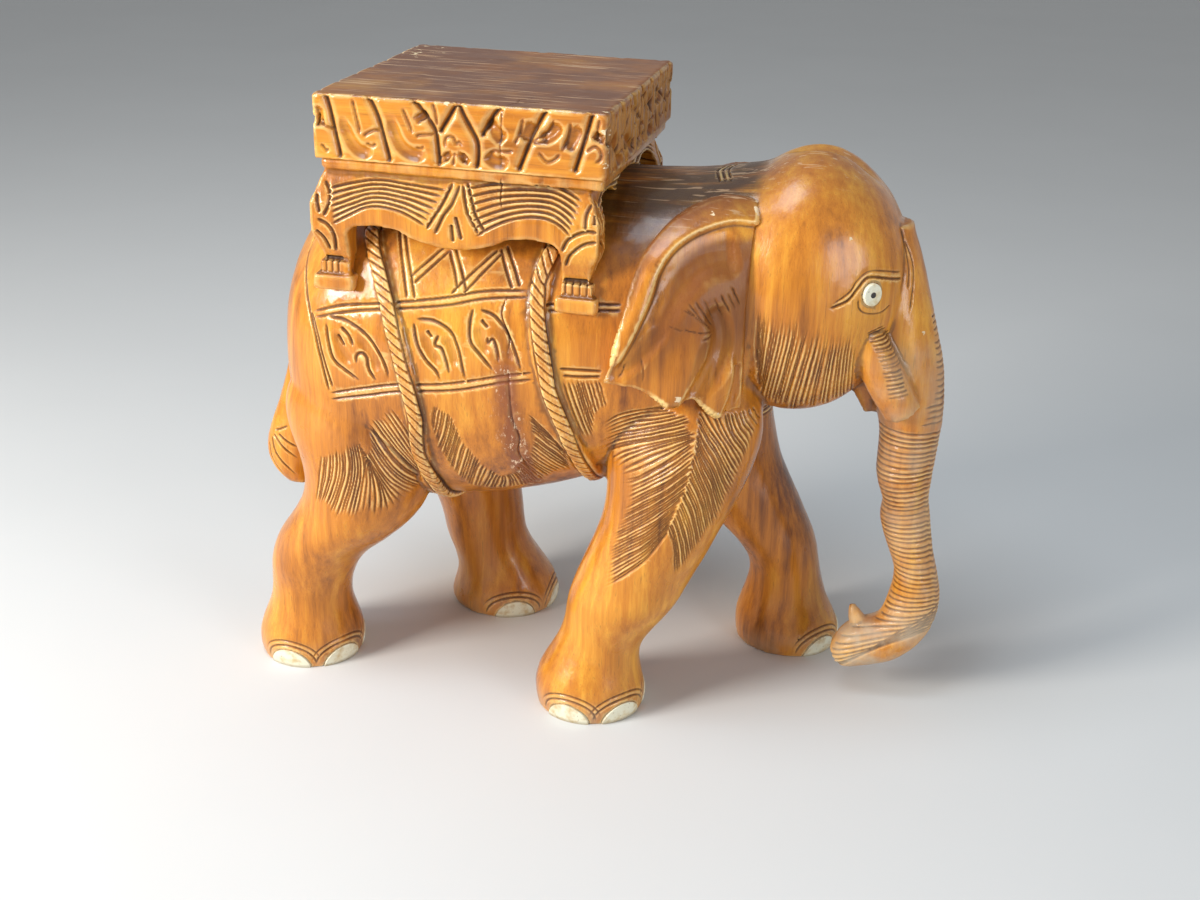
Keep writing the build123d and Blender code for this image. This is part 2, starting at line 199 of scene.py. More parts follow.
@dataclass(frozen=True)
class Stroke(Mark):
    """One tool mark, drawn from a side.

    Args:
        points: the path, in the two axes of its view.
        view: the side that it is carved from.
        tool: what it is cut with.
    """

    points: tuple
    view: View
    tool: Tool = Tool()

    def landed(self, tree: BVHTree) -> np.ndarray:
        """Drops the path onto a surface and returns the places that it meets."""
        sign = self.view.value[1]
        direction = Vector((0, 0, 0))
        direction[self.view.deep_axis] = -sign
        places = []
        for sample in smooth_path(self.points, SAMPLE_STEP):
            start = Vector((0, 0, 0))
            for axis, value in zip(self.view.flat_axes, sample):
                start[axis] = value
            start[self.view.deep_axis] = 2 * sign * FAR
            place = tree.ray_cast(start, direction)[0]
            if place is not None:
                places.append(place[:])
        return np.array(places).reshape(-1, 3)

    @property
    def mirrored(self) -> bool:
        """Whether its right-hand side lies on the left."""
        return self.view is View.LEFT


@dataclass(frozen=True)
class Hoop(Mark):
    """A tool mark that runs round a limb.

    Args:
        centre: gives the point inside the limb for a height z.
        ahead: the direction of angle 0, square to the limb.
        angles: the first and last angle in degrees, which turn from ahead towards +Y.
        height: the height that the hoop starts from.
        dip: how far its front drops along the limb.
        tool: what it is cut with.
        lowest: places below this height belong to another limb and are left out.
    """

    centre: Callable[[float], Sequence[float]]
    ahead: tuple
    angles: tuple
    height: float
    dip: float = 0.0
    tool: Tool = Tool()
    lowest: float = 0.0

    def landed(self, tree: BVHTree) -> np.ndarray:
        """Walks round the limb and returns the places on its surface."""
        ahead = Vector(self.ahead).normalized()
        aside = Vector((0, 1, 0))
        down = ahead.cross(aside)
        if down.z > 0:
            down.negate()
        places = []
        for angle in np.radians(np.linspace(*self.angles, HOOP_PLACES)):
            direction = ahead * math.cos(angle) + aside * math.sin(angle)
            drop = self.dip * float(between(0.72, 1.0, math.cos(angle)))
            at_height = self.height
            for _ in range(HOOP_SEARCHES):
                start = Vector(self.centre(at_height)) + down * drop
                place = tree.ray_cast(start, direction)[0]
                if place is None:
                    break
                at_height = place.z
            if place is not None and place.z > self.lowest:
                places.append(place[:])
        return np.array(places).reshape(-1, 3)


def drawn(view: View, tool: Tool, *paths: Path) -> list:
    """Draws several strokes with one tool."""
    return [Stroke(tuple(path), view, tool) for path in paths]


@dataclass(frozen=True)
class HairPatch:
    """A patch of fine grooves that lie between guide strokes.

    Args:
        guides: paths that neighbouring grooves follow, in order across the patch.
        spacing: distance from groove to groove.
        tool: what they are cut with.
        jitter: the share of a groove's length by which its ends vary.
    """

    guides: tuple
    spacing: float = 2.9
    tool: Tool = Tool(Profile.VEE, 1.25, 1.4, (0.15, 0.20), 0.85)
    jitter: float = 0.06

    def strokes(self, view: View, rng: np.random.Generator,
                shift: Optional[Callable[[np.ndarray], np.ndarray]] = None) -> list:
        """Draws the patch's grooves.

        Args:
            view: the side that they are carved from.
            rng: source of the hand's unevenness.
            shift: moves a path's points, for the leg of the other side.

        Returns:
            A list of strokes.
        """
        share = np.linspace(0, 1, 13)
        rows = []
        for guide in self.guides:
            path = smooth_path(guide, 1.0)
            at = np.linspace(0, 1, len(path))
            rows.append(np.stack([np.interp(share, at, path[:, k]) for k in (0, 1)], 1))
        strokes = []
        for a, b in zip(rows[:-1], rows[1:]):
            gap = np.linalg.norm(a - b, axis=1).mean()
            count = max(int(round(gap / self.spacing)), 1)
            for i in range(count):
                mix = (i + rng.uniform(-0.2, 0.2)) / count
                path = a * (1 - mix) + b * mix
                trimmed = np.linspace(rng.uniform(0, self.jitter), 1 - rng.uniform(0, self.jitter), SHARES)
                path = np.stack([np.interp(trimmed, share, path[:, k]) for k in (0, 1)], 1)
                path += rng.normal(0, 0.12, path.shape)
                if shift is not None:
                    path = shift(path)
                tool = replace(self.tool, half_width=self.tool.half_width * rng.uniform(0.85, 1.15),
                               depth=self.tool.depth * rng.uniform(0.65, 1.15))
                strokes.append(Stroke(tuple(map(tuple, path)), view, tool))
        return strokes


# ---- meshes -----------------------------------------------------------------------------------
def mesh_points(mesh: bpy.types.Mesh) -> np.ndarray:
    """Reads a mesh's vertices in millimetres."""
    flat = np.zeros(len(mesh.vertices) * 3)
    mesh.vertices.foreach_get("co", flat)
    return flat.reshape(-1, 3) / MM


def write_points(mesh: bpy.types.Mesh, points: np.ndarray) -> None:
    """Writes vertices given in millimetres."""
    mesh.vertices.foreach_set("co", (points * MM).ravel())
    mesh.update()


def mesh_normals(mesh: bpy.types.Mesh) -> np.ndarray:
    """Reads a mesh's vertex normals."""
    flat = np.zeros(len(mesh.vertices) * 3, np.float32)
    mesh.vertex_normals.foreach_get("vector", flat)
    return flat.reshape(-1, 3).astype(float)


def mesh_edges(mesh: bpy.types.Mesh) -> np.ndarray:
    """Reads a mesh's edges as pairs of vertex numbers."""
    flat = np.zeros(len(mesh.edges) * 2, np.int32)
    mesh.edges.foreach_get("vertices", flat)
    return flat.reshape(-1, 2)


def averaged(values: np.ndarray, edges: np.ndarray) -> np.ndarray:
    """The mean of each vertex's neighbours."""
    count = len(values)
    total = np.zeros_like(values)
    a, b = edges[:, 0], edges[:, 1]
    for k in range(values.shape[1]):
        total[:, k] = np.bincount(a, values[b, k], count) + np.bincount(b, values[a, k], count)
    degree = np.bincount(a, minlength=count) + np.bincount(b, minlength=count)
    return total / np.maximum(degree, 1)[:, None]


def relaxed(points: np.ndarray, edges: np.ndarray, rounds: int) -> np.ndarray:
    """Smooths points along edges and keeps their volume."""
    for _ in range(rounds):
        for pull in (0.55, -0.57):
            points = points + pull * (averaged(points, edges) - points)
    return points


def averaged_often(values: np.ndarray, edges: np.ndarray, rounds: int) -> np.ndarray:
    """Spreads values along edges, round by round."""
    for _ in range(rounds):
        values = 0.4 * values + 0.6 * averaged(values, edges)
    return values


def bend(points: np.ndarray, normals: np.ndarray, edges: np.ndarray) -> np.ndarray:
    """How sharply a surface bends outwards at each vertex, as one over its radius."""
    offset = ((points - averaged(points, edges)) * normals).sum(1)
    lengths = np.linalg.norm(points[edges[:, 0]] - points[edges[:, 1]], axis=1)
    count = len(points)
    total = np.bincount(edges[:, 0], lengths, count) + np.bincount(edges[:, 1], lengths, count)
    degree = np.bincount(edges[:, 0], minlength=count) + np.bincount(edges[:, 1], minlength=count)
    spacing = total / np.maximum(degree, 1)
    return averaged_often((4 * offset / np.maximum(spacing, 0.1) ** 2)[:, None], edges, 3)[:, 0]


def set_attribute(mesh: bpy.types.Mesh, name: str, values: np.ndarray) -> None:
    """Stores one number per vertex for the materials."""
    layer = mesh.attributes.get(name) or mesh.attributes.new(name, "FLOAT", "POINT")
    layer.data.foreach_set("value", values.astype(np.float32))


def new_object(name: str, mesh: bpy.types.Mesh) -> bpy.types.Object:
    """Links a new object for a mesh into the scene."""
    piece = bpy.data.objects.new(name, mesh)
    bpy.context.scene.collection.objects.link(piece)
    return piece


def surface_tree(mesh: bpy.types.Mesh) -> BVHTree:
    """Prepares a mesh, in millimetres, for rays and nearest points."""
    points = [Vector(p) for p in mesh_points(mesh)]
    return BVHTree.FromPolygons(points, [tuple(face.vertices) for face in mesh.polygons])


@contextmanager
def edited(mesh: bpy.types.Mesh) -> Iterator[bmesh.types.BMesh]:
    """Opens a mesh for bmesh's operators and writes the result back into it."""
    bm = bmesh.new()
    bm.from_mesh(mesh)
    bm.verts.ensure_lookup_table()
    yield bm
    bm.to_mesh(mesh)
    bm.free()


def in_order(items: Iterable) -> list:
    """Lists a bmesh's edges or vertices by their numbers."""
    return sorted(items, key=lambda item: item.index)


def merged_copy(nodes: Iterable[bpy.types.Object], name: str) -> bpy.types.Mesh:
    """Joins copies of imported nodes' meshes into one mesh with shared vertices."""
    mesh = bpy.data.meshes.new(name)
    with edited(mesh) as bm:
        for node in nodes:
            bm.from_mesh(node.data)
        bmesh.ops.remove_doubles(bm, verts=bm.verts, dist=0.002 * MM)
    return mesh


def plain_block(name: str, low: Vector, high: Vector, rounding: float) -> bpy.types.Mesh:
    """Makes a block whose edges are rounded, all but the four under it.

    Args:
        name: the mesh's name.
        low: its least corner in metres.
        high: its greatest corner in metres.
        rounding: how wide the rounding is, in millimetres.

    Returns:
        The closed mesh.
    """
    mesh = bpy.data.meshes.new(name)
    with edited(mesh) as bm:
        bmesh.ops.create_cube(bm, size=2.0)
        for vert in bm.verts:
            vert.co = [a if side < 0 else b for side, a, b in zip(vert.co, low, high)]
        edges = [edge for edge in bm.edges if max(vert.co.z for vert in edge.verts) > low[2] + MM]
        bmesh.ops.bevel(bm, geom=edges, offset=rounding * MM, segments=3, profile=0.5, material=-1,
                        affect="EDGES")
    return mesh


def loose_labels(mesh: bpy.types.Mesh) -> np.ndarray:
    """Gives each vertex the number of the loose part that it belongs to."""
    edges = mesh_edges(mesh)
    label = np.arange(len(mesh.vertices))
    while True:
        low = np.minimum(label[edges[:, 0]], label[edges[:, 1]])
        new = label.copy()
        np.minimum.at(new, edges[:, 0], low)
        np.minimum.at(new, edges[:, 1], low)
        new = new[new]
        if (new == label).all():
            return label
        label = new


def largest_parts(mesh: bpy.types.Mesh, most: int) -> list:
    """Finds the loose parts with the most vertices.

    Args:
        mesh: the mesh.
        most: how many parts are wanted.

    Returns:
        A mask of the vertices for each part, the largest part last.
    """
    label = loose_labels(mesh)
    names, counts = np.unique(label, return_counts=True)
    return [label == name for name in names[np.argsort(counts)[-most:]]]


def keep_vertices(mesh: bpy.types.Mesh, keep: np.ndarray) -> None:
    """Deletes every vertex that isn't kept."""
    with edited(mesh) as bm:
        bmesh.ops.delete(bm, geom=[bm.verts[int(i)] for i in np.nonzero(~keep)[0]], context="VERTS")


def modified(source: bpy.types.Mesh, kind: str, **settings: Union[str, float]) -> bpy.types.Mesh:
    """Runs a mesh through one modifier.

    Args:
        source: the mesh.
        kind: the modifier's type.
        settings: the modifier's own properties.

    Returns:
        The new mesh.
    """
    worker = new_object(source.name + "_worker", source)
    modifier = worker.modifiers.new(kind, kind)
    for key, value in settings.items():
        setattr(modifier, key, value)
    graph = bpy.context.evaluated_depsgraph_get()
    mesh = bpy.data.meshes.new_from_object(worker.evaluated_get(graph))
    bpy.data.objects.remove(worker)
    return mesh


def remeshed(source: bpy.types.Mesh, name: str, voxel: float, rounds: int) -> bpy.types.Mesh:
    """Covers a closed shape with even quads and smooths them.

    Args:
        source: the closed shape.
        name: the new mesh's name.
        voxel: the quads' size in millimetres.
        rounds: how often the quads are smoothed.

    Returns:
        The new mesh, without the shells that lie inside it.
    """
    mesh = modified(source, "REMESH", mode="VOXEL", voxel_size=voxel * MM)
    mesh.name = name
    mesh.materials.clear()
    keep_vertices(mesh, largest_parts(mesh, 1)[0])
    write_points(mesh, relaxed(mesh_points(mesh), mesh_edges(mesh), rounds))
    return mesh


def triangle_count(mesh: bpy.types.Mesh) -> int:
    """Counts a mesh's facets as triangles."""
    return sum(len(face.vertices) - 2 for face in mesh.polygons)


def thinned(mesh: bpy.types.Mesh, most: int) -> bpy.types.Mesh:
    """Merges a mesh's flattest facets until no more than a number of triangles is left."""
    triangles = triangle_count(mesh)
    return mesh if triangles <= most else modified(mesh, "DECIMATE", ratio=most / triangles)


def refine(mesh: bpy.types.Mesh, chosen: np.ndarray) -> None:
    """Halves the edges of every face that has a chosen vertex."""
    with edited(mesh) as bm:
        faces = [face for face in bm.faces if any(chosen[vert.index] for vert in face.verts)]
        edges = in_order({edge for face in faces for edge in face.edges})
        bmesh.ops.subdivide_edges(bm, edges=edges, cuts=1, use_grid_fill=True)
        odd = [face for face in bm.faces if len(face.verts) > 4]
        bmesh.ops.triangulate(bm, faces=odd)


def sawn_apart(mesh: bpy.types.Mesh, place: Sequence[float], normal: Sequence[float],
               lowest: float = -FAR) -> list:
    """Saws a mesh in two and closes both cuts, so that the surface matches across them.

    Args:
        mesh: the mesh, which is used up.
        place: a point on the cut, in millimetres.
        normal: the direction of the second part.
        lowest: nothing below this height is cut.

    Returns:
        The part behind the cut and the part beyond it.
    """
    with edited(mesh) as bm:
        faces = [face for face in bm.faces if min(v.co.z for v in face.verts) > lowest * MM]
        edges = in_order({edge for face in faces for edge in face.edges})
        verts = in_order({vert for face in faces for vert in face.verts})
        cut = bmesh.ops.bisect_plane(bm, geom=faces + edges + verts, plane_co=Vector(place) * MM,
                                     plane_no=Vector(normal), dist=1e-7)["geom_cut"]
        bmesh.ops.split_edges(bm, edges=[item for item in cut if isinstance(item, bmesh.types.BMEdge)])
        rim = [edge for edge in bm.edges if edge.is_boundary]
        bmesh.ops.holes_fill(bm, edges=rim, sides=0)
        for edge in rim:
            edge.smooth = False
    offset = (mesh_points(mesh) - np.array(place)) @ np.array(normal)
    masks = sorted(largest_parts(mesh, 2), key=lambda mask: offset[mask].mean())
    parts = [mesh, mesh.copy()]
    for part, mask in zip(parts, masks):
        keep_vertices(part, mask)
    return parts


# ---- the carver -------------------------------------------------------------------------------
ROPE_PITCH = 8.2                # from twist to twist of a rope girth
SNAP = 2.0                      # the furthest that a vertex is moved onto the blank
RECESS = 1.3                    # how deep the wood is let in round an inlay
RECESS_RIM = 0.5                # how far that recess reaches past the inlay


@dataclass
class Samples:
    """Stroke samples on a surface: places, directions and the numbers that shape the cut."""

    places: np.ndarray
    tangents: np.ndarray
    normals: np.ndarray
    along: np.ndarray
    half_width: np.ndarray
    depth: np.ndarray
    dirt_and_shade: np.ndarray
    profile: np.ndarray


def gather(tree: BVHTree, strokes: Iterable) -> Samples:
    """Turns strokes into samples on a surface."""
    rows = []
    kinds = list(Profile)
    for stroke in strokes:
        places = stroke.landed(tree)
        if len(places) < 3:
            continue
        places = even_samples(places, SAMPLE_STEP)
        found = [tree.find_nearest(Vector(place)) for place in places]
        places = np.array([hit[0][:] for hit in found])
        normals = np.array([hit[1][:] for hit in found])
        steps = np.linalg.norm(np.diff(places, axis=0), axis=1)
        along = np.concatenate([[0.0], np.cumsum(steps)])
        if len(places) < 3 or along[-1] < 1.0:
            continue
        share = along / along[-1]
        tool = stroke.tool
        fade = np.ones(len(places))
        for taper, way in zip(tool.tapers, (share, 1 - share)):
            if taper > 0:
                fade *= between(-0.02, taper, way)
        tangents = np.gradient(places, axis=0)
        tangents /= np.linalg.norm(tangents, axis=1)[:, None] + 1e-9
        if stroke.mirrored:
            tangents = -tangents
        width = np.full(len(places), float(tool.half_width))
        if tool.profile in (Profile.VEE, Profile.GOUGE):
            width *= 0.6 + 0.4 * fade
        rows.append((places, tangents, normals, along, width, tool.depth * fade,
                     np.full(len(places), float(tool.dirt_and_shade)),
                     np.full(len(places), kinds.index(tool.profile))))
    return Samples(*(np.concatenate(column) for column in zip(*rows)))


def nearest_samples(points: np.ndarray, samples: Samples, reach: float) -> tuple:
    """Finds each point's nearest sample within reach.

    Returns:
        Distances, and sample numbers that are -1 where none is near.
    """
    tree = KDTree(len(samples.places))
    for i, place in enumerate(samples.places):
        tree.insert(place, i)
    tree.balance()
    low, high = samples.places.min(0) - reach, samples.places.max(0) + reach
    inside = np.nonzero(((points > low) & (points < high)).all(1))[0]
    distance = np.full(len(points), np.inf)
    nearest = np.full(len(points), -1)
    for i in inside:
        _, index, gap = tree.find(points[i])
        if gap < reach:
            distance[i], nearest[i] = gap, index
    return distance, nearest


def stroke_heights(points: np.ndarray, normals: np.ndarray, samples: Samples) -> tuple:
    """Works out how far one layer of strokes moves each point.

    Returns:
        The rise, the depth of cut from 0 to 1, which also sets the grime and painted shade in it, and how far
        a raised band covers what was there.
    """
    distance, nearest = nearest_samples(points, samples, samples.half_width.max() * 1.3)
    rise, cut, cover = (np.zeros(len(points)) for _ in range(3))
    found = np.nonzero(nearest >= 0)[0]
    index = nearest[found]
    facing = (normals[found] * samples.normals[index]).sum(1) > 0.1
    found, index = found[facing], index[facing]
    width, depth = samples.half_width[index], samples.depth[index]
    offset = points[found] - samples.places[index]
    side = np.cross(samples.tangents[index], samples.normals[index])
    across = (offset * side).sum(1) / width
    reach = np.clip(distance[found] / width, 0, 2)
    kinds = samples.profile[index]
    for number, profile in enumerate(Profile):
        mine = kinds == number
        if not mine.any():
            continue
        at, u, r, d = found[mine], across[mine], reach[mine], depth[mine]
        hollow = np.clip(1 - r, 0, 1)
        if profile is Profile.VEE:
            rise[at] = -d * hollow
            cut[at] = hollow * np.clip(d / 0.8, 0, 1)
        elif profile is Profile.GOUGE:
            rise[at] = -d * between(0, 0.85, hollow)
            # The hollow is darkened: grime and painted shade.
            cut[at] = between(0, 0.8, hollow) * np.clip(d / 1.5, 0, 1)
        elif profile is Profile.FOLD:
            rise[at] = d * between(-1.2, -0.05, u) * (1 - between(0.0, 0.30, u)) * (r < 1.25)
            # A dark line along the steep side: painted shade.
            cut[at] = np.clip(1 - np.abs(u - 0.26) / 0.14, 0, 1) * np.clip(d / 2, 0, 1) * (r < 0.5)
        elif profile is Profile.ROPE:
            turn = samples.along[index[mine]] / ROPE_PITCH + 0.85 * u
            twist = between(0.60, 1.0, np.abs((turn % 1.0) - 0.5) * 2) * (1 - between(0.75, 1.0, r))
            rim = np.clip(1 - np.abs(r - 1.0) / 0.27, 0, 1)
            there = np.clip(d, 0, 1)
            arch = np.sqrt(np.clip(1 - r * r, 0, 1))
            rise[at] = d * arch - (1.2 * twist + 1.2 * rim) * there
            # The twists and the rims are darkened: grime and painted shade.
            cut[at] = np.maximum(0.8 * twist, 0.85 * rim) * there
            cover[at] = (r < 1.2) * there
        cut[at] *= samples.dirt_and_shade[index[mine]]
    return rise, cut, cover


class Carving:
    """A blank under the carver's tools."""

    def __init__(self, name: str, blank: bpy.types.Mesh, voxel: float = 3.2) -> None:
        """Makes an evenly meshed copy of a blank.

        Args:
            name: the mesh's name.
            blank: the closed shape that is carved, which is used up.
            voxel: the size of the first quads.
        """
        self.tree = surface_tree(blank)
        self.mesh = remeshed(blank, name, voxel, 3)
        self.layers: list = []
        self.marks: dict = {}
        self.inlays: list = []
        self.fit(2)

    def fit(self, rounds: int) -> None:
        """Moves the vertices onto the blank and softens its arrises."""
        points = mesh_points(self.mesh)
        for i, point in enumerate(points):
            place, _, _, gap = self.tree.find_nearest(Vector(point), SNAP)
            if place is not None and gap > 0.01:
                points[i] = place[:]
        write_points(self.mesh, relaxed(points, mesh_edges(self.mesh), rounds))

    def plan(self, strokes: Iterable, mark: str = "groove") -> None:
        """Adds a layer of strokes, in the order in which the layers are carved."""
        self.layers.append((gather(self.tree, strokes), mark))

    def let_in(self, nodes: Nodes) -> None:
        """Plans a recess round each inlaid node."""
        for node in nodes:
            mesh = merged_copy([node], node.name + "_outline")
            points = mesh_points(mesh)
            self.inlays.append((surface_tree(mesh), points.min(0), points.max(0)))

    def near(self, margin: float) -> np.ndarray:
        """Finds the vertices within a margin of any planned stroke's edge or of an inlay."""
        points = mesh_points(self.mesh)
        chosen = np.zeros(len(points), bool)
        for samples, _ in self.layers:
            distance, nearest = nearest_samples(points, samples, samples.half_width.max() + margin)
            known = nearest >= 0
            reach = np.minimum(samples.half_width[nearest[known]], 9.0) + margin
            chosen[known] |= distance[known] < reach
        for _, low, high in self.inlays:
            chosen |= ((points > low - margin) & (points < high + margin)).all(1)
        return chosen

    def sharpen(self, margins: Sequence[float]) -> None:
        """Makes the mesh finer around the planned strokes, once for each margin."""
        for margin in margins:
            refine(self.mesh, self.near(margin))
            self.fit(2)

    def soften(self, where: np.ndarray, rounds: int) -> None:
        """Rounds off a part of the surface.

        Args:
            where: how much each vertex takes part, 0 to 1.
            rounds: how far the rounding goes.
        """
        points = mesh_points(self.mesh)
        soft = averaged_often(points, mesh_edges(self.mesh), rounds)
        write_points(self.mesh, points + (soft - points) * where[:, None])

    def beside(self, strokes: Iterable, reach: float) -> np.ndarray:
        """How near each vertex is to some strokes: 1 on them, 0 from reach outwards."""
        distance, _ = nearest_samples(mesh_points(self.mesh), gather(self.tree, strokes), reach)
        return between(reach, 0.75 * reach, np.minimum(distance, reach))

    def roughen(self, *waves: tuple) -> None:
        """Adds the waviness of hand work.

        Args:
            waves: pairs of the length and height of waves.
        """
        points, normals = mesh_points(self.mesh), mesh_normals(self.mesh)
        for length, height in waves:
            rise = np.array([noise.noise(Vector(p / length)) for p in points])
            points = points + normals * (rise * height)[:, None]
        write_points(self.mesh, points)

    def carve(self) -> None:
        """Moves the surface along its normals by every planned layer."""
        base = mesh_points(self.mesh)
        normals = mesh_normals(self.mesh)
        edges = mesh_edges(self.mesh)
        set_attribute(self.mesh, "edge", bend(base, normals, edges))
        moved = np.zeros(len(base))
        for samples, mark in self.layers:
            rise, cut, cover = stroke_heights(base, normals, samples)
            moved = moved * (1 - cover) + rise
            for other in self.marks:
                self.marks[other] = self.marks[other] * (1 - cover)
            self.marks[mark] = np.maximum(self.marks.get(mark, np.zeros(len(base))), cut)
        for tree, low, high in self.inlays:
            for i in np.nonzero(((base > low - 2) & (base < high + 2)).all(1))[0]:
                place, normal, _, gap = tree.find_nearest(Vector(base[i]))
                inside = (Vector(base[i]) - place).dot(normal) < 0
                if inside or gap < RECESS_RIM:
                    moved[i] = -RECESS
                    self.marks["groove"][i] = 0.8
        carved = base + normals * moved[:, None]
        carved[:, 2] = np.maximum(carved[:, 2], 0.0)
        write_points(self.mesh, carved)
        relief = moved - averaged_often(moved[:, None], edges, 8)[:, 0]
        for mark, values in {**self.marks, "relief": relief}.items():
            set_attribute(self.mesh, mark, values)


def finished(name: str, mesh: bpy.types.Mesh, material: bpy.types.Material,
             replaced: str) -> None:
    """Makes a mesh a dressed piece of the stool.

    Args:
        name: the piece's name.
        mesh: its mesh, in place.
        material: its finish.
        replaced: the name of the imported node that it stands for.
    """
    mesh.materials.clear()
    mesh.materials.append(material)
    mesh.polygons.foreach_set("use_smooth", [True] * len(mesh.polygons))
    piece = new_object(name, mesh)
    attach(piece, BODY)
    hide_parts(replaced)
    log.info("%s: %d triangles", name, triangle_count(mesh))


# ---- shader maths -----------------------------------------------------------------------------
class Socket:
    """An output socket whose arithmetic adds Math nodes."""

    def __init__(self, shader: "Shader", out: bpy.types.NodeSocket) -> None:
        """Wraps a socket of a shader."""
        self.shader = shader
        self.out = out

    def math(self, operation: str, *values: "Number") -> "Socket":
        """Adds one Math node."""
        return self.shader.node("ShaderNodeMath", {"operation": operation}, dict(enumerate(values)))

    def __add__(self, other: "Number") -> "Socket":
        """The sum."""
        return self.math("ADD", self, other)

    def __sub__(self, other: "Number") -> "Socket":
        """The difference."""
        return self.math("SUBTRACT", self, other)

    def __rsub__(self, other: "Number") -> "Socket":
        """The difference from a number."""
        return self.math("SUBTRACT", other, self)

    def __mul__(self, other: "Number") -> "Socket":
        """The product."""
        return self.math("MULTIPLY", self, other)

    __radd__ = __add__
    __rmul__ = __mul__

    def ramp(self, low: float, high: float) -> "Socket":
        """A smooth step from 0 at low to 1 at high."""
        return self.shader.node("ShaderNodeMapRange", {"interpolation_type": "SMOOTHSTEP"},
                                {"Value": self, "From Min": low, "From Max": high})


Number = Union[Socket, float]
Colour = Union[Socket, tuple]


class Shader:
    """A material under construction."""

    def __init__(self, name: str) -> None:
        """Starts an empty node tree."""
        self.material = bpy.data.materials.new(name)
        self.material.use_nodes = True
        self.tree = self.material.node_tree
        self.tree.nodes.clear()
        self.place = self.node("ShaderNodeTexCoord", {}, {}, "Object")

    def node(self, kind: str, settings: dict, inputs: dict, output: Union[str, int] = 0) -> Socket:
        """Adds a node.

        Args:
            kind: its type.
            settings: its own properties, which are set first.
            inputs: values or links, by socket name or number.
            output: the socket that is returned.

        Returns:
            The wanted output.
        """
        node = self.tree.nodes.new(kind)
        for key, value in settings.items():
            setattr(node, key, value)
        for key, value in inputs.items():
            if isinstance(value, Socket):
                self.tree.links.new(value.out, node.inputs[key])
            else:
                node.inputs[key].default_value = value
        return Socket(self, node.outputs[output])

    def attribute(self, name: str) -> Socket:
        """Reads a vertex attribute."""
        return self.node("ShaderNodeAttribute", {"attribute_name": name}, {}, "Fac")

    def stretched(self, scale: Sequence[float]) -> Socket:
        """Object coordinates scaled along each axis."""
        return self.node("ShaderNodeMapping", {}, {"Vector": self.place, "Scale": tuple(scale)})

    def noise(self, scale: Sequence[float], detail: float = 3.0, roughness: float = 0.55,
              distortion: float = 0.0) -> Socket:
        """Noise from 0 to 1 whose frequency is set along each axis, per metre."""
        return self.node("ShaderNodeTexNoise", {}, {
            "Vector": self.stretched(scale), "Scale": 1.0, "Detail": detail,
            "Roughness": roughness, "Distortion": distortion})

    def mix(self, first: Colour, second: Colour, factor: Number, blend: str = "MIX") -> Socket:
        """Mixes two colours."""
        colours = [c if isinstance(c, Socket) else (*c, 1.0) for c in (first, second)]
        return self.node("ShaderNodeMix", {"data_type": "RGBA", "blend_type": blend},
                         {0: factor, 6: colours[0], 7: colours[1]}, 2)

    def part(self, vector: Socket, axis: int) -> Socket:
        """One part of a vector."""
        return self.node("ShaderNodeSeparateXYZ", {}, {0: vector}, axis)

    def bump(self, height: Socket, strength: float, distance: float) -> Socket:
        """Turns a height into a normal."""
        return self.node("ShaderNodeBump", {}, {"Height": height, "Strength": strength,
                                                "Distance": distance}, "Normal")

    def surface(self, **inputs: Union[Number, Colour]) -> bpy.types.Material:
        """Ends the material with a Principled shader; underscores in names stand for spaces."""
        values = {key.replace("_", " "): value for key, value in inputs.items()}
        shader = self.node("ShaderNodeBsdfPrincipled", {}, values)
        output = self.tree.nodes.new("ShaderNodeOutputMaterial")
        self.tree.links.new(shader.out, output.inputs["Surface"])
        return self.material


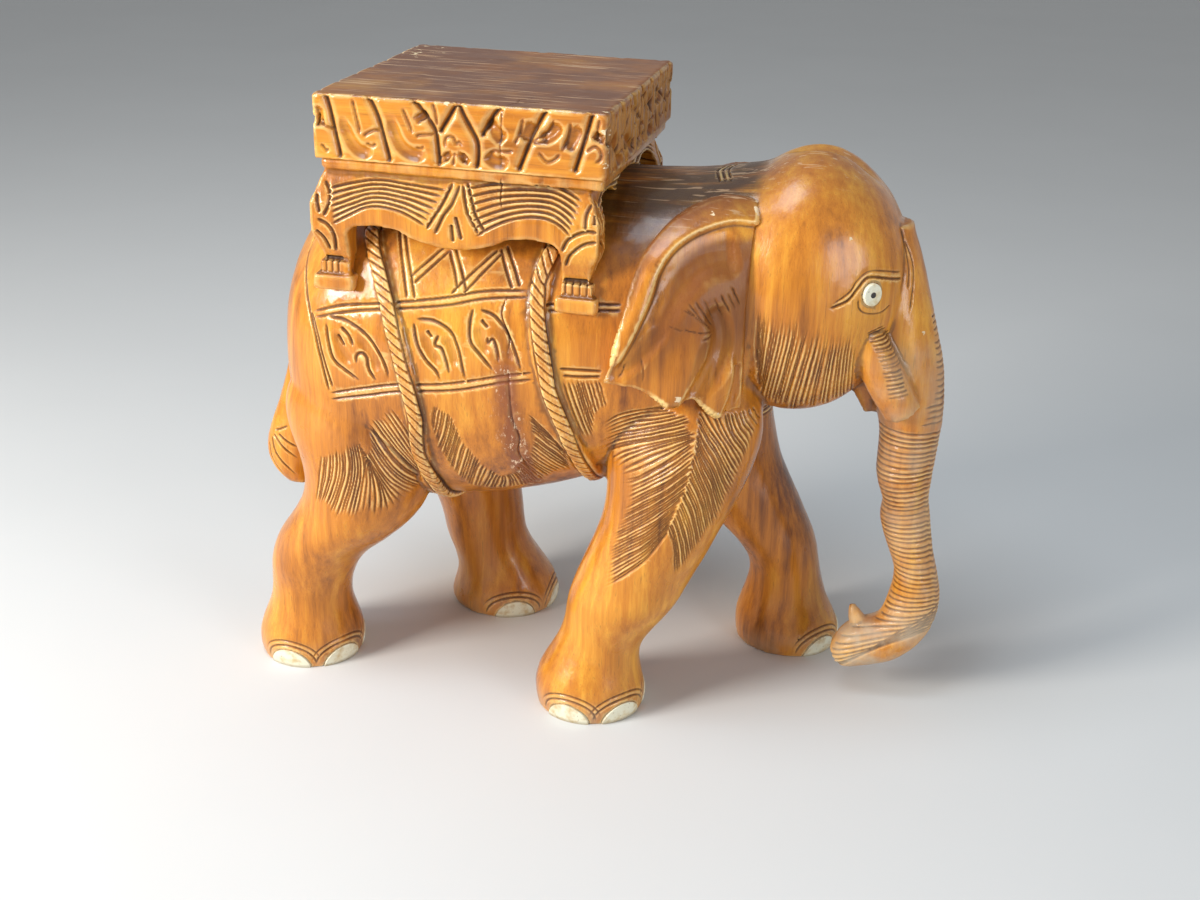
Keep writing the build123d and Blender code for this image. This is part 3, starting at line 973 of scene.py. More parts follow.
@dataclass(frozen=True)
class VarnishedWood:
    """Stained and varnished hardwood with grime and painted shade in its cuts, painted shade in its creases
    and shaded parts, and a painted highlight on its ridges.

    Args:
        name: the material's name.
        grain: axis number along which the fibres run.
        wear: how much of the arrises is rubbed, 0 to 1.
        ridges: how much of the ridges between cuts is rubbed pale, with a painted highlight, 0 to 1.
        age: how much of the aged colour shows, 0 to 1.
        dark: the late wood's colour, also used for painted shade.
        middle: the plain colour.
        light: the early wood's colour.
        dirt_and_shade: the colour of grime in the cuts and cracks, also used for painted shade in cuts,
            creases and sunken relief.
        worn_and_highlight: the colour of rubbed ridges and arrises, which on the ridges is also a painted
            highlight.
        aged: the colour of surfaces that look up and hold dust under the varnish.
        soot: the colour along the back.
        scratched: the colour of fine scratches on surfaces that look up.
        filler: the colour of the filler beside the drying crack.
        fleck: the colour of the filler's crumbs.
        bare: the colour of chips through the stain.
        dust: the colour of dust.
        roughness: of the varnish.
        varnish: weight of the clear coat.
    """

    name: str
    grain: int = 2
    wear: float = 0.4
    ridges: float = 0.75
    age: float = 0.5
    dark: tuple = (0.15, 0.038, 0.005)
    middle: tuple = (0.54, 0.180, 0.013)
    light: tuple = (0.82, 0.385, 0.040)
    dirt_and_shade: tuple = (0.026, 0.009, 0.003)
    worn_and_highlight: tuple = (0.86, 0.56, 0.20)
    aged: tuple = (0.130, 0.043, 0.014)
    soot: tuple = (0.026, 0.013, 0.007)
    scratched: tuple = (0.54, 0.33, 0.18)
    filler: tuple = (0.22, 0.058, 0.016)
    fleck: tuple = (0.75, 0.55, 0.36)
    bare: tuple = (0.76, 0.58, 0.36)
    dust: tuple = (0.52, 0.42, 0.30)
    roughness: float = 0.30
    varnish: float = 0.35

    def along_grain(self, across: float, along: float) -> list:
        """Noise frequencies that are low along the fibres."""
        scale = [across] * 3
        scale[self.grain] = along
        return scale

    def grown(self, s: Shader, streaks: Socket, fibres: Socket) -> Socket:
        """The colour of the stained wood."""
        clouds = s.noise((8, 8, 6), 2.0)
        bands = s.noise(self.along_grain(34, 3.2), 3.0, 0.6, 0.6)
        tone = clouds * 0.38 + bands * 0.36 + streaks * 0.30 + fibres * 0.12 - 0.02
        colour = s.mix(self.dark, self.middle, tone.ramp(0.36, 0.57))
        colour = s.mix(colour, self.light, tone.ramp(0.52, 0.74))
        return s.mix(colour, self.dark, fibres.ramp(0.58, 0.72) * 0.4)

    def darkened(self, s: Shader, colour: Socket, upward: Socket, shade: Socket) -> Socket:
        """Ages what looks up, paints shade where the shade attribute is set, and blackens the back."""
        blotches = s.noise((14, 14, 14), 4.0)
        aged = upward.ramp(0.30, 0.85) * (blotches.ramp(0.3, 0.65) * 0.4 + 0.7) * self.age
        colour = s.mix(colour, self.aged, aged)
        # Painted shade.
        colour = s.mix(colour, self.dark, shade * 0.78)
        lengthwise = s.noise((12, 150, 150), 3.0)
        sooty = s.attribute("back") * (lengthwise * 0.6 + blotches * 0.4).ramp(0.36, 0.58)
        return s.mix(colour, self.soot, sooty * 0.85)

    def rubbed(self, s: Shader, colour: Socket, shade: Socket) -> Socket:
        """Rubs the ridges and arrises pale, with a painted highlight on the ridges; darkens cuts with grime
        and painted shade, creases and sunken relief with painted shade, and cracks with grime.
        """
        relief, edge = s.attribute("relief"), s.attribute("edge")
        patches = s.noise((60, 60, 60), 4.0).ramp(0.36, 0.60)
        high, arris = relief.ramp(0.08, 0.38), edge.ramp(0.08, 0.26)
        # Pale ridges are rubbed wear and a painted highlight; pale arrises are rubbed wear.
        worn_and_highlight = (high * self.ridges + arris * patches * self.wear) * (1.0 - shade * 0.8)
        colour = s.mix(colour, self.worn_and_highlight, worn_and_highlight)
        # Painted shade in creases and in sunken relief.
        crease_shade = (0.0 - edge).ramp(0.05, 0.22)
        colour = s.mix(colour, self.dirt_and_shade, (0.0 - relief).ramp(0.2, 0.9) * 0.35 + crease_shade * 0.5)
        # Grime in the cuts, with painted shade in gouges, folds and ropes.
        colour = s.mix(colour, self.dirt_and_shade, s.attribute("groove").ramp(0.1, 0.9) * 0.86)
        return s.mix(colour, self.dirt_and_shade, s.attribute("crack") * 0.95)

    def mended(self, s: Shader, colour: Socket, upward: Socket) -> Socket:
        """Adds scratches, and the filler with its crumbs."""
        scratches = s.noise((14, 330, 330), 2.0).ramp(0.61, 0.65) * upward.ramp(0.6, 0.95)
        colour = s.mix(colour, self.scratched, scratches * 0.65)
        filler = s.attribute("filler")
        reddish = filler * s.noise((120, 120, 30), 3.0).ramp(0.20, 0.48)
        colour = s.mix(colour, self.filler, reddish * 0.85)
        crumbs = filler * s.noise((190, 190, 80), 6.0, 0.8).ramp(0.57, 0.61)
        return s.mix(colour, self.fleck, crumbs)

    def material(self) -> bpy.types.Material:
        """Builds the node material."""
        s = Shader(self.name)
        streaks = s.noise(self.along_grain(170, 9), 3.0, 0.6)
        fibres = s.noise(self.along_grain(900, 30), 2.0, 0.6)
        upward = s.part(s.node("ShaderNodeNewGeometry", {}, {}, "Normal"), 2)
        shade, groove = s.attribute("shade"), s.attribute("groove")
        chip = (s.attribute("chip") * 0.30 + s.noise((150, 220, 220), 4.0)).ramp(0.80, 0.84)
        dust = s.attribute("dust") * s.noise((45, 45, 45), 4.0).ramp(0.25, 0.7)
        colour = self.darkened(s, self.grown(s, streaks, fibres), upward, shade)
        colour = self.mended(s, self.rubbed(s, colour, shade), upward)
        colour = s.mix(colour, self.bare, chip)
        colour = s.mix(colour, self.dust, dust * 0.75)
        level = upward.ramp(0.9, 0.99)
        rough = s.noise((22, 22, 22), 3.0) * 0.24 + (self.roughness - 0.12)
        rough = rough + groove * 0.35 + chip * 0.4 + dust * 0.35 + level * 0.22 + shade * 0.18
        coat = (1.0 - groove.ramp(0.1, 0.8)) * (1.0 - chip) * (1.0 - dust * 0.8) * self.varnish
        coat = coat * (1.0 - level * 0.8) * (1.0 - shade * 0.8)
        height = streaks * 0.35 + fibres * 0.25 + s.noise((70, 70, 70), 3.0) * 0.8
        return s.surface(Base_Color=colour, Roughness=rough, Specular_IOR_Level=0.38,
                         Coat_Weight=coat, Coat_Roughness=0.13, Normal=s.bump(height, 0.5, 0.0011))


@dataclass(frozen=True)
class BoneInlay:
    """Yellowed bone with fine scratches, and grime and painted contact shade in its lowest 4 mm by the floor.
    """

    name: str = "bone_inlay"
    pale: tuple = (0.80, 0.76, 0.58)
    yellowed: tuple = (0.62, 0.47, 0.24)
    dirt_and_shade: tuple = (0.16, 0.085, 0.03)

    def material(self) -> bpy.types.Material:
        """Builds the node material."""
        s = Shader(self.name)
        blotch = s.noise((130, 130, 130), 4.0)
        colour = s.mix(self.pale, self.yellowed, blotch.ramp(0.42, 0.72))
        specks = s.noise((700, 700, 420), 2.0, 0.5)
        colour = s.mix(colour, self.dirt_and_shade, specks.ramp(0.66, 0.74) * 0.6)
        # Grime and painted contact shade in the lowest 4 mm above the floor.
        low = 1.0 - s.part(s.place, 2).ramp(0.0, 0.004)
        colour = s.mix(colour, self.dirt_and_shade, low * 0.5)
        return s.surface(Base_Color=colour, Roughness=blotch * 0.25 + 0.32, Coat_Weight=0.2,
                         Coat_Roughness=0.2, Normal=s.bump(specks + blotch, 0.25, 0.0006))


@dataclass(frozen=True)
class Pupil:
    """A pupil of dark horn."""

    name: str = "pupil_horn"

    def material(self) -> bpy.types.Material:
        """Builds the node material."""
        s = Shader(self.name)
        cloud = s.noise((600, 600, 600), 3.0)
        colour = s.mix((0.012, 0.008, 0.006), (0.07, 0.035, 0.02), cloud.ramp(0.45, 0.7))
        return s.surface(Base_Color=colour, Roughness=cloud * 0.2 + 0.15, Coat_Weight=0.6)


@dataclass(frozen=True)
class BareDowel:
    """Unfinished dowel rod with its fibres along one axis."""

    name: str = "bare_dowel"
    pale: tuple = (0.62, 0.43, 0.24)
    streak: tuple = (0.42, 0.25, 0.11)

    def material(self) -> bpy.types.Material:
        """Builds the node material."""
        s = Shader(self.name)
        fibres = s.noise((700, 700, 60), 3.0)
        colour = s.mix(self.pale, self.streak, fibres.ramp(0.4, 0.65))
        return s.surface(Base_Color=colour, Roughness=fibres * 0.2 + 0.6,
                         Normal=s.bump(fibres, 0.4, 0.0005))


# ---- the elephant's body and head -------------------------------------------------------------
@dataclass(frozen=True)
class LegPair:
    """Where the far leg stands against the near one, by height."""

    heights: tuple
    shifts: tuple

    def moved(self, path: np.ndarray) -> np.ndarray:
        """Moves a near leg's marks to the far leg."""
        path = path.copy()
        path[:, 0] += np.interp(path[:, 1], self.heights, self.shifts)
        return path


REAR_LEGS = LegPair((75, 120, 150, 190, 235, 290), (102, 62, 31, 16, 10, 0))
FRONT_LEGS = LegPair((50, 75, 107, 150, 190, 225, 260), (127, 111, 80, 38, 9, -3, 0))


@dataclass(frozen=True)
class Blanket:
    """The saddle cloth's borders, lattice and leaves, drawn as the near side shows them."""

    line: Tool = Tool(Profile.VEE, 1.6, 1.6)
    leaf: Tool = Tool(Profile.VEE, 1.9, 1.9, (0.12, 0.2))
    sunk: Tool = Tool(Profile.GOUGE, 6.0, 1.7, (0.25, 0.25), 0.35)

    def borders(self, view: View) -> list:
        """Double lines along the cloth's top, rear and bottom."""
        return drawn(
            view, self.line,
            ((-186, 303), (-163, 311), (-134, 316), (-86, 325), (-57, 332), (-26, 335)),
            ((-185, 299), (-159, 307), (-134, 312), (-85, 320), (-57, 327), (-25, 331)),
            ((-13, 327), (14, 329), (38, 330)),
            ((-12, 323), (14, 325), (38, 326)),
            ((-196, 352), (-200, 335), (-196, 318), (-186, 292), (-180, 270), (-174, 245)),
            ((-188, 302), (-182, 287), (-177, 268), (-171, 249)),
            ((-174, 244), (-147, 252), (-121, 259), (-84, 264), (-43, 274), (-20, 279)),
            ((-174, 239), (-144, 247), (-118, 254), (-77, 260), (-43, 269), (-20, 274)),
            ((-2, 283), (14, 283), (27, 283)),
            ((0, 278), (14, 278), (26, 279)))

    def lattice(self, view: View) -> list:
        """Crossed double bars under the stand's arches."""
        return drawn(
            view, self.line,
            ((-126, 364), (-118, 341), (-113, 322)), ((-122, 365), (-113, 342), (-107, 322)),
            ((-90, 357), (-112, 336)), ((-86, 355), (-109, 332)),
            ((-86, 355), (-80, 342), (-77, 332)), ((-82, 357), (-75, 343), (-70, 330)),
            ((-52, 358), (-71, 339), (-81, 328)), ((-48, 357), (-68, 334), (-72, 329)),
            ((-50, 359), (-43, 345), (-38, 335)), ((-46, 361), (-38, 348), (-33, 337)))

    def leaves(self, view: View) -> list:
        """Three curled leaves between the borders."""
        return drawn(
            view, self.leaf,
            ((-174, 302), (-159, 301), (-143, 293), (-133, 281), (-127, 269), (-126, 260)),
            ((-175, 298), (-173, 284), (-169, 271), (-158, 263), (-147, 257)),
            ((-151, 270), (-151, 276), (-147, 279), (-143, 276), (-141, 267), (-135, 259)),
            ((-107, 307), (-104, 292), (-98, 281), (-90, 273), (-86, 265)),
            ((-106, 309), (-92, 309), (-80, 303), (-74, 291), (-71, 278), (-68, 267)),
            ((-88, 300), (-91, 292), (-86, 290), (-83, 282), (-80, 271)),
            ((-64, 321), (-66, 310), (-65, 297), (-56, 286), (-47, 276)),
            ((-60, 320), (-48, 316), (-39, 305), (-33, 292), (-28, 277)),
            ((-53, 302), (-53, 297), (-49, 300), (-46, 292), (-45, 283)),
            ((-163, 296), (-157, 291), (-153, 283)), ((-97, 302), (-93, 297)),
            ((-58, 313), (-53, 308)), ((-166, 290), (-160, 282)))

    def sinkings(self, view: View) -> list:
        """Shallow hollows beside the leaves."""
        return drawn(
            view, self.sunk,
            ((-168, 294), (-163, 280), (-154, 268)), ((-150, 291), (-140, 280), (-133, 266)),
            ((-101, 300), (-95, 288), (-86, 277)), ((-84, 300), (-79, 289), (-76, 276)),
            ((-60, 310), (-58, 298), (-52, 288)), ((-46, 310), (-41, 300), (-36, 284)),
            ((-118, 300), (-114, 285), (-110, 270)))


@dataclass(frozen=True)
class Hair:
    """Patches of hair on legs, belly, neck and jaw, drawn as the near side shows them."""

    thigh: HairPatch = HairPatch((
        ((-182, 197), (-187, 174), (-193, 149)), ((-172, 202), (-175, 178), (-186, 150)),
        ((-161, 209), (-161, 182), (-175, 141)), ((-154, 215), (-149, 186), (-158, 143)),
        ((-150, 207), (-139, 174), (-139, 147)), ((-149, 200), (-137, 176), (-129, 154)),
        ((-147, 206), (-133, 180), (-116, 161)), ((-146, 227), (-127, 195), (-111, 174)),
        ((-125, 244), (-112, 220), (-106, 190))))
    belly: HairPatch = HairPatch((
        ((-92, 247), (-94, 239), (-95, 228)), ((-82, 245), (-86, 226), (-94, 207)),
        ((-79, 240), (-83, 223), (-91, 202)), ((-73, 224), (-79, 209), (-87, 186)),
        ((-68, 213), (-73, 198), (-83, 176)), ((-62, 203), (-69, 189), (-79, 166)),
        ((-56, 194), (-62, 182), (-71, 166)), ((-51, 187), (-57, 176), (-63, 165)),
        ((-47, 188), (-47, 178), (-51, 166)), ((-40, 194), (-37, 182), (-38, 170)),
        ((-36, 203), (-30, 191), (-26, 178)), ((-28, 211), (-21, 200), (-12, 189)),
        ((-25, 223), (-17, 214), (-8, 203), (0, 193)), ((-24, 240), (-14, 230), (-5, 220), (1, 206)),
        ((-28, 253), (-20, 243), (-11, 231), (-5, 214))))
    neck: HairPatch = HairPatch((
        ((0, 277), (4, 262), (9, 244), (15, 224)), ((6, 277), (11, 261), (15, 245), (20, 226)),
        ((14, 277), (18, 261), (22, 245)), ((22, 277), (25, 265), (28, 252)),
        ((29, 275), (31, 267), (33, 258))))
    shoulder: HairPatch = HairPatch((
        ((24, 238), (38, 249), (57, 254), (72, 256)), ((22, 223), (32, 230), (52, 239), (88, 252)),
        ((22, 206), (37, 222), (60, 233), (92, 243)), ((32, 202), (49, 218), (70, 230), (94, 240)),
        ((38, 198), (55, 207), (76, 223), (93, 237)), ((43, 181), (61, 196), (77, 207), (93, 222)),
        ((31, 152), (57, 173), (77, 190), (91, 203)), ((28, 130), (47, 146), (65, 160), (82, 181)),
        ((29, 108), (48, 125), (63, 141), (77, 164))), 2.9,
        Tool(Profile.VEE, 1.3, 1.45, (0.30, 0.03), 0.85))
    chest: HairPatch = HairPatch((
        ((127, 254), (133, 243)), ((110, 254), (116, 240), (124, 228), (127, 215)),
        ((93, 256), (102, 244), (111, 232), (125, 204)), ((93, 232), (99, 217), (106, 201), (112, 169)),
        ((90, 208), (97, 194), (101, 176), (103, 157)), ((82, 181), (86, 168), (89, 153), (90, 134)),
        ((77, 168), (81, 154), (81, 137), (80, 121))), 2.9,
        Tool(Profile.VEE, 1.3, 1.45, (0.03, 0.30), 0.85))
    jaw: HairPatch = HairPatch((
        ((129, 336), (128, 316), (128, 285)), ((134, 337), (132, 310), (129, 266)),
        ((144, 337), (141, 304), (131, 253)), ((153, 339), (151, 305), (139, 245)),
        ((164, 331), (160, 305), (146, 240)), ((173, 329), (170, 298), (160, 241)),
        ((181, 326), (179, 298), (173, 245)), ((187, 323), (185, 297), (182, 248)),
        ((193, 323), (191, 297), (189, 254)), ((198, 318), (196, 296), (195, 253))), 2.7,
        Tool(Profile.VEE, 1.25, 1.4, (0.40, 0.12), 0.8), 0.1)

    def strokes(self, view: View, rng: np.random.Generator) -> list:
        """Draws every patch of one side."""
        far = view is View.LEFT
        rear = REAR_LEGS.moved if far else None
        front = FRONT_LEGS.moved if far else None
        strokes = self.thigh.strokes(view, rng, rear)
        strokes += self.shoulder.strokes(view, rng, front) + self.chest.strokes(view, rng, front)
        for patch in (self.belly, self.neck, self.jaw):
            strokes += patch.strokes(view, rng)
        return strokes


@dataclass
class Elephant:
    """The standing elephant: body, legs, tail, head and trunk from one log.

    Args:
        frame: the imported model.
        wood: its finish.
        rng: source of the hand's unevenness.
        saw_at: where the body is split into two pieces for the file, along the drying crack.
        neck_at: where the head block begins.
        girths: the rope girths' lines on the flank, as heights and x places.
        triangles: the most that the log may have.
        rope: what the girths are cut with.
        blanket: the saddle cloth's pattern.
        hair: the patches of hair.
    """

    frame: dict
    wood: bpy.types.Material
    rng: np.random.Generator
    saw_at: float = -33.0
    neck_at: float = 120.0
    girths: tuple = (
        ((172, 190, 205, 234, 256, 279, 304, 319, 338, 349, 362),
         (-102, -105, -108, -106, -110, -117, -123, -127, -135, -141, -146)),
        ((150, 194, 215, 234, 250, 268, 283, 314, 328, 343, 362),
         (12, 9, 5, 2, -3, -9, -11, -17, -19, -20, -13)))
    triangles: int = 500_000
    rope: Tool = Tool(Profile.ROPE, 5.9, 1.3, (0.0, 0.0))
    blanket: Blanket = Blanket()
    hair: Hair = Hair()

    def girth(self, heights: Sequence[float], places: Sequence[float]) -> Hoop:
        """A rope that runs from under the stand round the belly to the other side."""

        def centre(height: float) -> tuple:
            """The point inside the belly that the rope goes round."""
            return (float(np.interp(height, heights, places)), 0.0, 275.0)

        return Hoop(centre, (0, 0, -1), (-143, 143), 180.0, 0.0, self.rope, 134.0)

    def head_strokes(self, view: View) -> list:
        """Eyelids and forehead lines of one side."""
        lid = ((175, 332), (186, 337), (192, 345), (198, 352), (209, 350), (219, 346))
        return drawn(view, Tool(Profile.VEE, 1.5, 1.7), lid) + drawn(
            view, Tool(Profile.VEE, 1.1, 0.9),
            ((177, 335), (187, 343), (191, 350), (198, 356), (208, 355), (218, 351)),
            ((193, 338), (194, 331), (199, 327), (208, 326), (214, 330)),
            ((215, 377), (219, 365), (223, 351), (224, 338)),
            ((218, 370), (225, 355), (227, 341), (227, 323)))

    def sheath(self) -> HairPatch:
        """Ribs across the sheath that holds the tusk."""
        return HairPatch((
            ((200, 312), (211, 316)), ((202, 305), (216, 307)), ((206, 298), (219, 299)),
            ((211, 289), (224, 291)), ((214, 281), (228, 282)), ((217, 271), (230, 273)),
            ((219, 262), (235, 265))), 3.2, Tool(Profile.VEE, 1.2, 1.0, (0.1, 0.1)), 0.05)

    def trunk_rings(self) -> list:
        """Close rings round the trunk, which dip at its front."""
        sides = (((218, 231), (252, 230)), ((223, 180), (248, 184)), ((237, 140), (261, 142)),
                 ((242, 112), (264, 111)), ((246, 78), (267, 82)), ((232, 52), (262, 66)),
                 ((214, 38), (247, 68)), ((203, 30), (243, 58)))
        rings = []
        for (back_a, front_a), (back_b, front_b) in zip(sides[:-1], sides[1:]):
            middle_a = np.add(back_a, front_a) / 2
            middle_b = np.add(back_b, front_b) / 2
            count = max(int(round(np.linalg.norm(middle_a - middle_b) / 4.1)), 1)
            for i in range(count):
                share = (i + self.rng.uniform(-0.12, 0.12)) / count
                back = np.array(back_a) * (1 - share) + np.array(back_b) * share
                front = np.array(front_a) * (1 - share) + np.array(front_b) * share
                middle = (back + front) / 2
                ahead = front - back
                start = (float(middle[0]), 0.0, float(middle[1]))
                tool = Tool(Profile.VEE, 1.35, self.rng.uniform(0.7, 1.15), (0.02, 0.02))
                rings.append(Hoop(lambda height, at=start: at, (ahead[0], 0, ahead[1]),
                                  (-172, 172), middle[1], 2.2, tool))
        return rings

    def brow_ridges(self) -> list:
        """Short ridges down the front of the trunk, above its rings."""
        ridges = []
        for height in np.arange(236.0, 318.0, 4.6):
            place = float(np.interp(height, (230, 262, 318), (229, 232, 226)))
            reach = float(np.interp(height, (230, 262, 318), (78, 52, 30))) * self.rng.uniform(0.85, 1.1)
            start = (place, 0.0, height + self.rng.uniform(-0.5, 0.5))
            tool = Tool(Profile.VEE, 1.35, self.rng.uniform(0.6, 1.0), (0.15, 0.15))
            ridges.append(Hoop(lambda level, at=start: at, (1, 0, 0.1), (-reach, reach), height, 2.2, tool))
        return ridges

    def top_strokes(self) -> tuple:
        """The valley between the skull's domes, and the wrinkles behind it.

        Returns:
            Hollows, and grooves.
        """
        valley = drawn(View.TOP, Tool(Profile.GOUGE, 11, 2.6, (0.25, 0.25), 0.2),
                       ((128, 0), (150, -1), (175, 1), (199, 0)))
        lines = drawn(View.TOP, Tool(Profile.VEE, 1.6, 1.2, (0.2, 0.2)),
                      ((130, 0), (150, -1), (175, 1), (197, 0)))
        for x in (88, 92, 96):
            lines += drawn(View.TOP, Tool(Profile.VEE, 1.2, 1.1, (0.1, 0.1)),
                           ((x, 10), (x - 4, -4), (x - 2, -16), (x + 2, -30)))
        return valley, lines

    def tail_strokes(self, view: View) -> list:
        """Hair of the tail's tuft."""
        tool = Tool(Profile.VEE, 1.4, 1.3, (0.1, 0.3))
        return drawn(view, tool, ((-263, 166), (-258, 151), (-240, 132)),
                     ((-261, 168), (-251, 158), (-238, 148)), ((-266, 160), (-263, 145), (-252, 130)),
                     ((-256, 169), (-247, 163), (-238, 158)), ((-259, 171), (-246, 177)))

    def cracks(self) -> list:
        """Drying cracks down the near flank and at the far side."""
        return (drawn(View.RIGHT, Tool(Profile.VEE, 0.9, 2.2, (0.2, 0.3)),
                      ((-38, 285), (-37, 262), (-36, 242), (-32, 226), (-34, 213), (-30, 197), (-28, 180)),
                      ((-41, 330), (-44, 318), (-38, 303), (-39, 290)))
                + drawn(View.LEFT, Tool(Profile.VEE, 0.8, 1.6, (0.3, 0.3)),
                        ((-60, 268), (-58, 246), (-61, 222), (-57, 204))))

    def nail_arches(self) -> list:
        """Two curved lines over every toenail."""
        strokes = []
        for leg in ("rear_right", "rear_left", "front_right", "front_left"):
            boxes = [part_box(f"toenail_{leg}_{i}") for i in (1, 2, 3)]
            middles = [(low + high) / 2 / MM for low, high in boxes]
            centre = circle_centre(*[(p.x, p.y) for p in middles])
            for (low, high), middle in zip(boxes, middles):
                span = math.hypot(high.x - low.x, high.y - low.y) / MM / 2
                radius = math.hypot(middle.x - centre[0], middle.y - centre[1])
                toward = math.atan2(middle.y - centre[1], middle.x - centre[0])
                for wider, taller, tool in ((1.5, 5.0, Tool(Profile.VEE, 1.3, 1.3, (0.1, 0.1))),
                                            (5.0, 9.0, Tool(Profile.VEE, 1.2, 0.9, (0.25, 0.25)))):
                    half = (span + wider) / radius
                    strokes.append(NailArch(centre, toward, half, high.z / MM - 1 + taller, tool))
        return strokes

    def plan(self, log_block: Carving, inlays: Nodes, ropes: Iterable) -> None:
        """Plans every layer of strokes, and the recesses round the inlays."""
        valley, top_lines = self.top_strokes()
        soft, lines, hair = list(valley), list(top_lines), self.trunk_rings() + self.brow_ridges()
        for view in SIDES:
            soft += self.blanket.sinkings(view)
            lines += self.blanket.borders(view) + self.blanket.lattice(view) + self.blanket.leaves(view)
            lines += self.head_strokes(view) + self.tail_strokes(view)
            hair += self.hair.strokes(view, self.rng) + self.sheath().strokes(view, self.rng)
        for layer in (soft, lines, hair, self.nail_arches(), ropes):
            log_block.plan(layer)
        log_block.plan(self.cracks(), "crack")
        log_block.let_in(inlays)

    def soften(self, log_block: Carving, ropes: Iterable) -> None:
        """Rounds off the wood beside the ropes, and the neck, hips, shoulders and tail root."""
        log_block.soften(log_block.beside(ropes, 10.5), 6)
        x, y, z = mesh_points(log_block.mesh).T
        log_block.soften(between(24, 6, np.abs(x - self.neck_at)) * between(200, 220, z), 8)
        hips = between(45, 20, np.abs(x + 165)) * between(36, 18, np.abs(z - 252))
        shoulders = between(50, 25, np.abs(x - 72)) * between(36, 18, np.abs(z - 262))
        log_block.soften(np.maximum(hips, shoulders) * between(60, 80, np.abs(y)), 10)
        tail_root = between(-190, -202, x) * between(34, 20, np.abs(y)) * between(44, 24, np.abs(z - 296))
        log_block.soften(tail_root, 14)

    def build(self) -> None:
        """Carves the log and parts it into pieces for the file."""
        nodes = self.frame["nodes"]
        inlays = [node for name, node in nodes.items() if name.startswith(("toenail", "eye_white"))]
        plugs = [node for name, node in nodes.items()
                 if any(word in name for word in ("peg", "dowel", "pupil", "tusk"))]
        blocks = [nodes["body_block"], nodes["head_block"]]
        log_block = Carving("elephant", merged_copy([*blocks, *inlays, *plugs], "log"))
        ropes = [self.girth(*girth) for girth in self.girths]
        self.plan(log_block, inlays, ropes)
        log_block.sharpen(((2.5, 0.7)))
        self.soften(log_block, ropes)
        log_block.roughen((28, 0.45), (9, 0.22))
        log_block.carve()
        self.mark_colours(log_block.mesh)
        whole = thinned(log_block.mesh, self.triangles)
        body, head = sawn_apart(whole, (self.neck_at, 0, 0), (1, 0, 0), 130)
        rear, front = sawn_apart(body, (self.saw_at, 0, 0), (1, 0, 0))
        for name, mesh, node in (("elephant_rear", rear, "body_block"),
                                 ("elephant_front", front, "body_block"),
                                 ("elephant_head", head, "head_block")):
            finished(name, mesh, self.wood, node)

    def mark_colours(self, mesh: bpy.types.Mesh) -> None:
        """Marks the filler beside the crack, the chips, the dust on trunk and soles, and the back."""
        points = mesh_points(mesh)
        x, y, z = points.T
        line = np.interp(z, (180, 213, 242, 285, 330), (-29, -33, -36, -38, -42))
        near_side = between(-30, -60, y)
        filler = (1 - between(5, 11, np.abs(x - line + 2))) * between(300, 270, z) * near_side
        set_attribute(mesh, "filler", filler)
        chip = np.zeros(len(points))
        for place, size in (((184, -55, 378), 4), ((237, -22, 308), 4), ((118, -60, 394), 5)):
            chip = np.maximum(chip, 1 - between(0.5 * size, size, np.linalg.norm(points - place, axis=1)))
        set_attribute(mesh, "chip", chip)
        tip = 1.3 * between(120, 30, z) * between(190, 200, x)
        soles = 0.6 * between(26, 2, z)
        rings = 0.5 * between(198, 215, x) * between(312, 285, z)
        set_attribute(mesh, "dust", np.maximum(np.maximum(tip, soles), rings))
        upward = between(0.55, 0.9, mesh_normals(mesh)[:, 2])
        set_attribute(mesh, "back", upward * between(350, 375, z) * between(126, 112, x))


@dataclass(frozen=True)
class NailArch(Mark):
    """A curved line over a toenail.

    Args:
        centre: the foot's axis, x and y.
        toward: the nail's direction from it, in radians.
        half: half the arch's opening, in radians.
        top: the height of its crown.
        tool: what it is cut with.
    """

    centre: tuple
    toward: float
    half: float
    top: float
    tool: Tool

    def landed(self, tree: BVHTree) -> np.ndarray:
        """Casts the arch onto the foot from its axis, past the nail's socket."""
        places = []
        for angle in np.linspace(0.02, 0.98, ARCH_PLACES) * math.pi:
            way = self.toward - self.half * math.cos(angle)
            height = self.top * math.sin(angle) ** 0.8
            start = Vector((*self.centre, height))
            direction = Vector((math.cos(way), math.sin(way), 0))
            place = tree.ray_cast(start, direction)[0]
            hops = 0
            while place is not None and hops < 4 and (place - start).length < 15:
                start = place + direction * 0.05
                place = tree.ray_cast(start, direction)[0]
                hops += 1
            if place is not None:
                places.append(place[:])
        return np.array(places).reshape(-1, 3)


def circle_centre(a: Sequence[float], b: Sequence[float], c: Sequence[float]) -> tuple:
    """The centre of the circle through three points."""
    rows = np.array([[b[0] - a[0], b[1] - a[1]], [c[0] - a[0], c[1] - a[1]]])
    right = 0.5 * np.array([b[0] ** 2 - a[0] ** 2 + b[1] ** 2 - a[1] ** 2,
                            c[0] ** 2 - a[0] ** 2 + c[1] ** 2 - a[1] ** 2])
    return tuple(np.linalg.solve(rows, right))


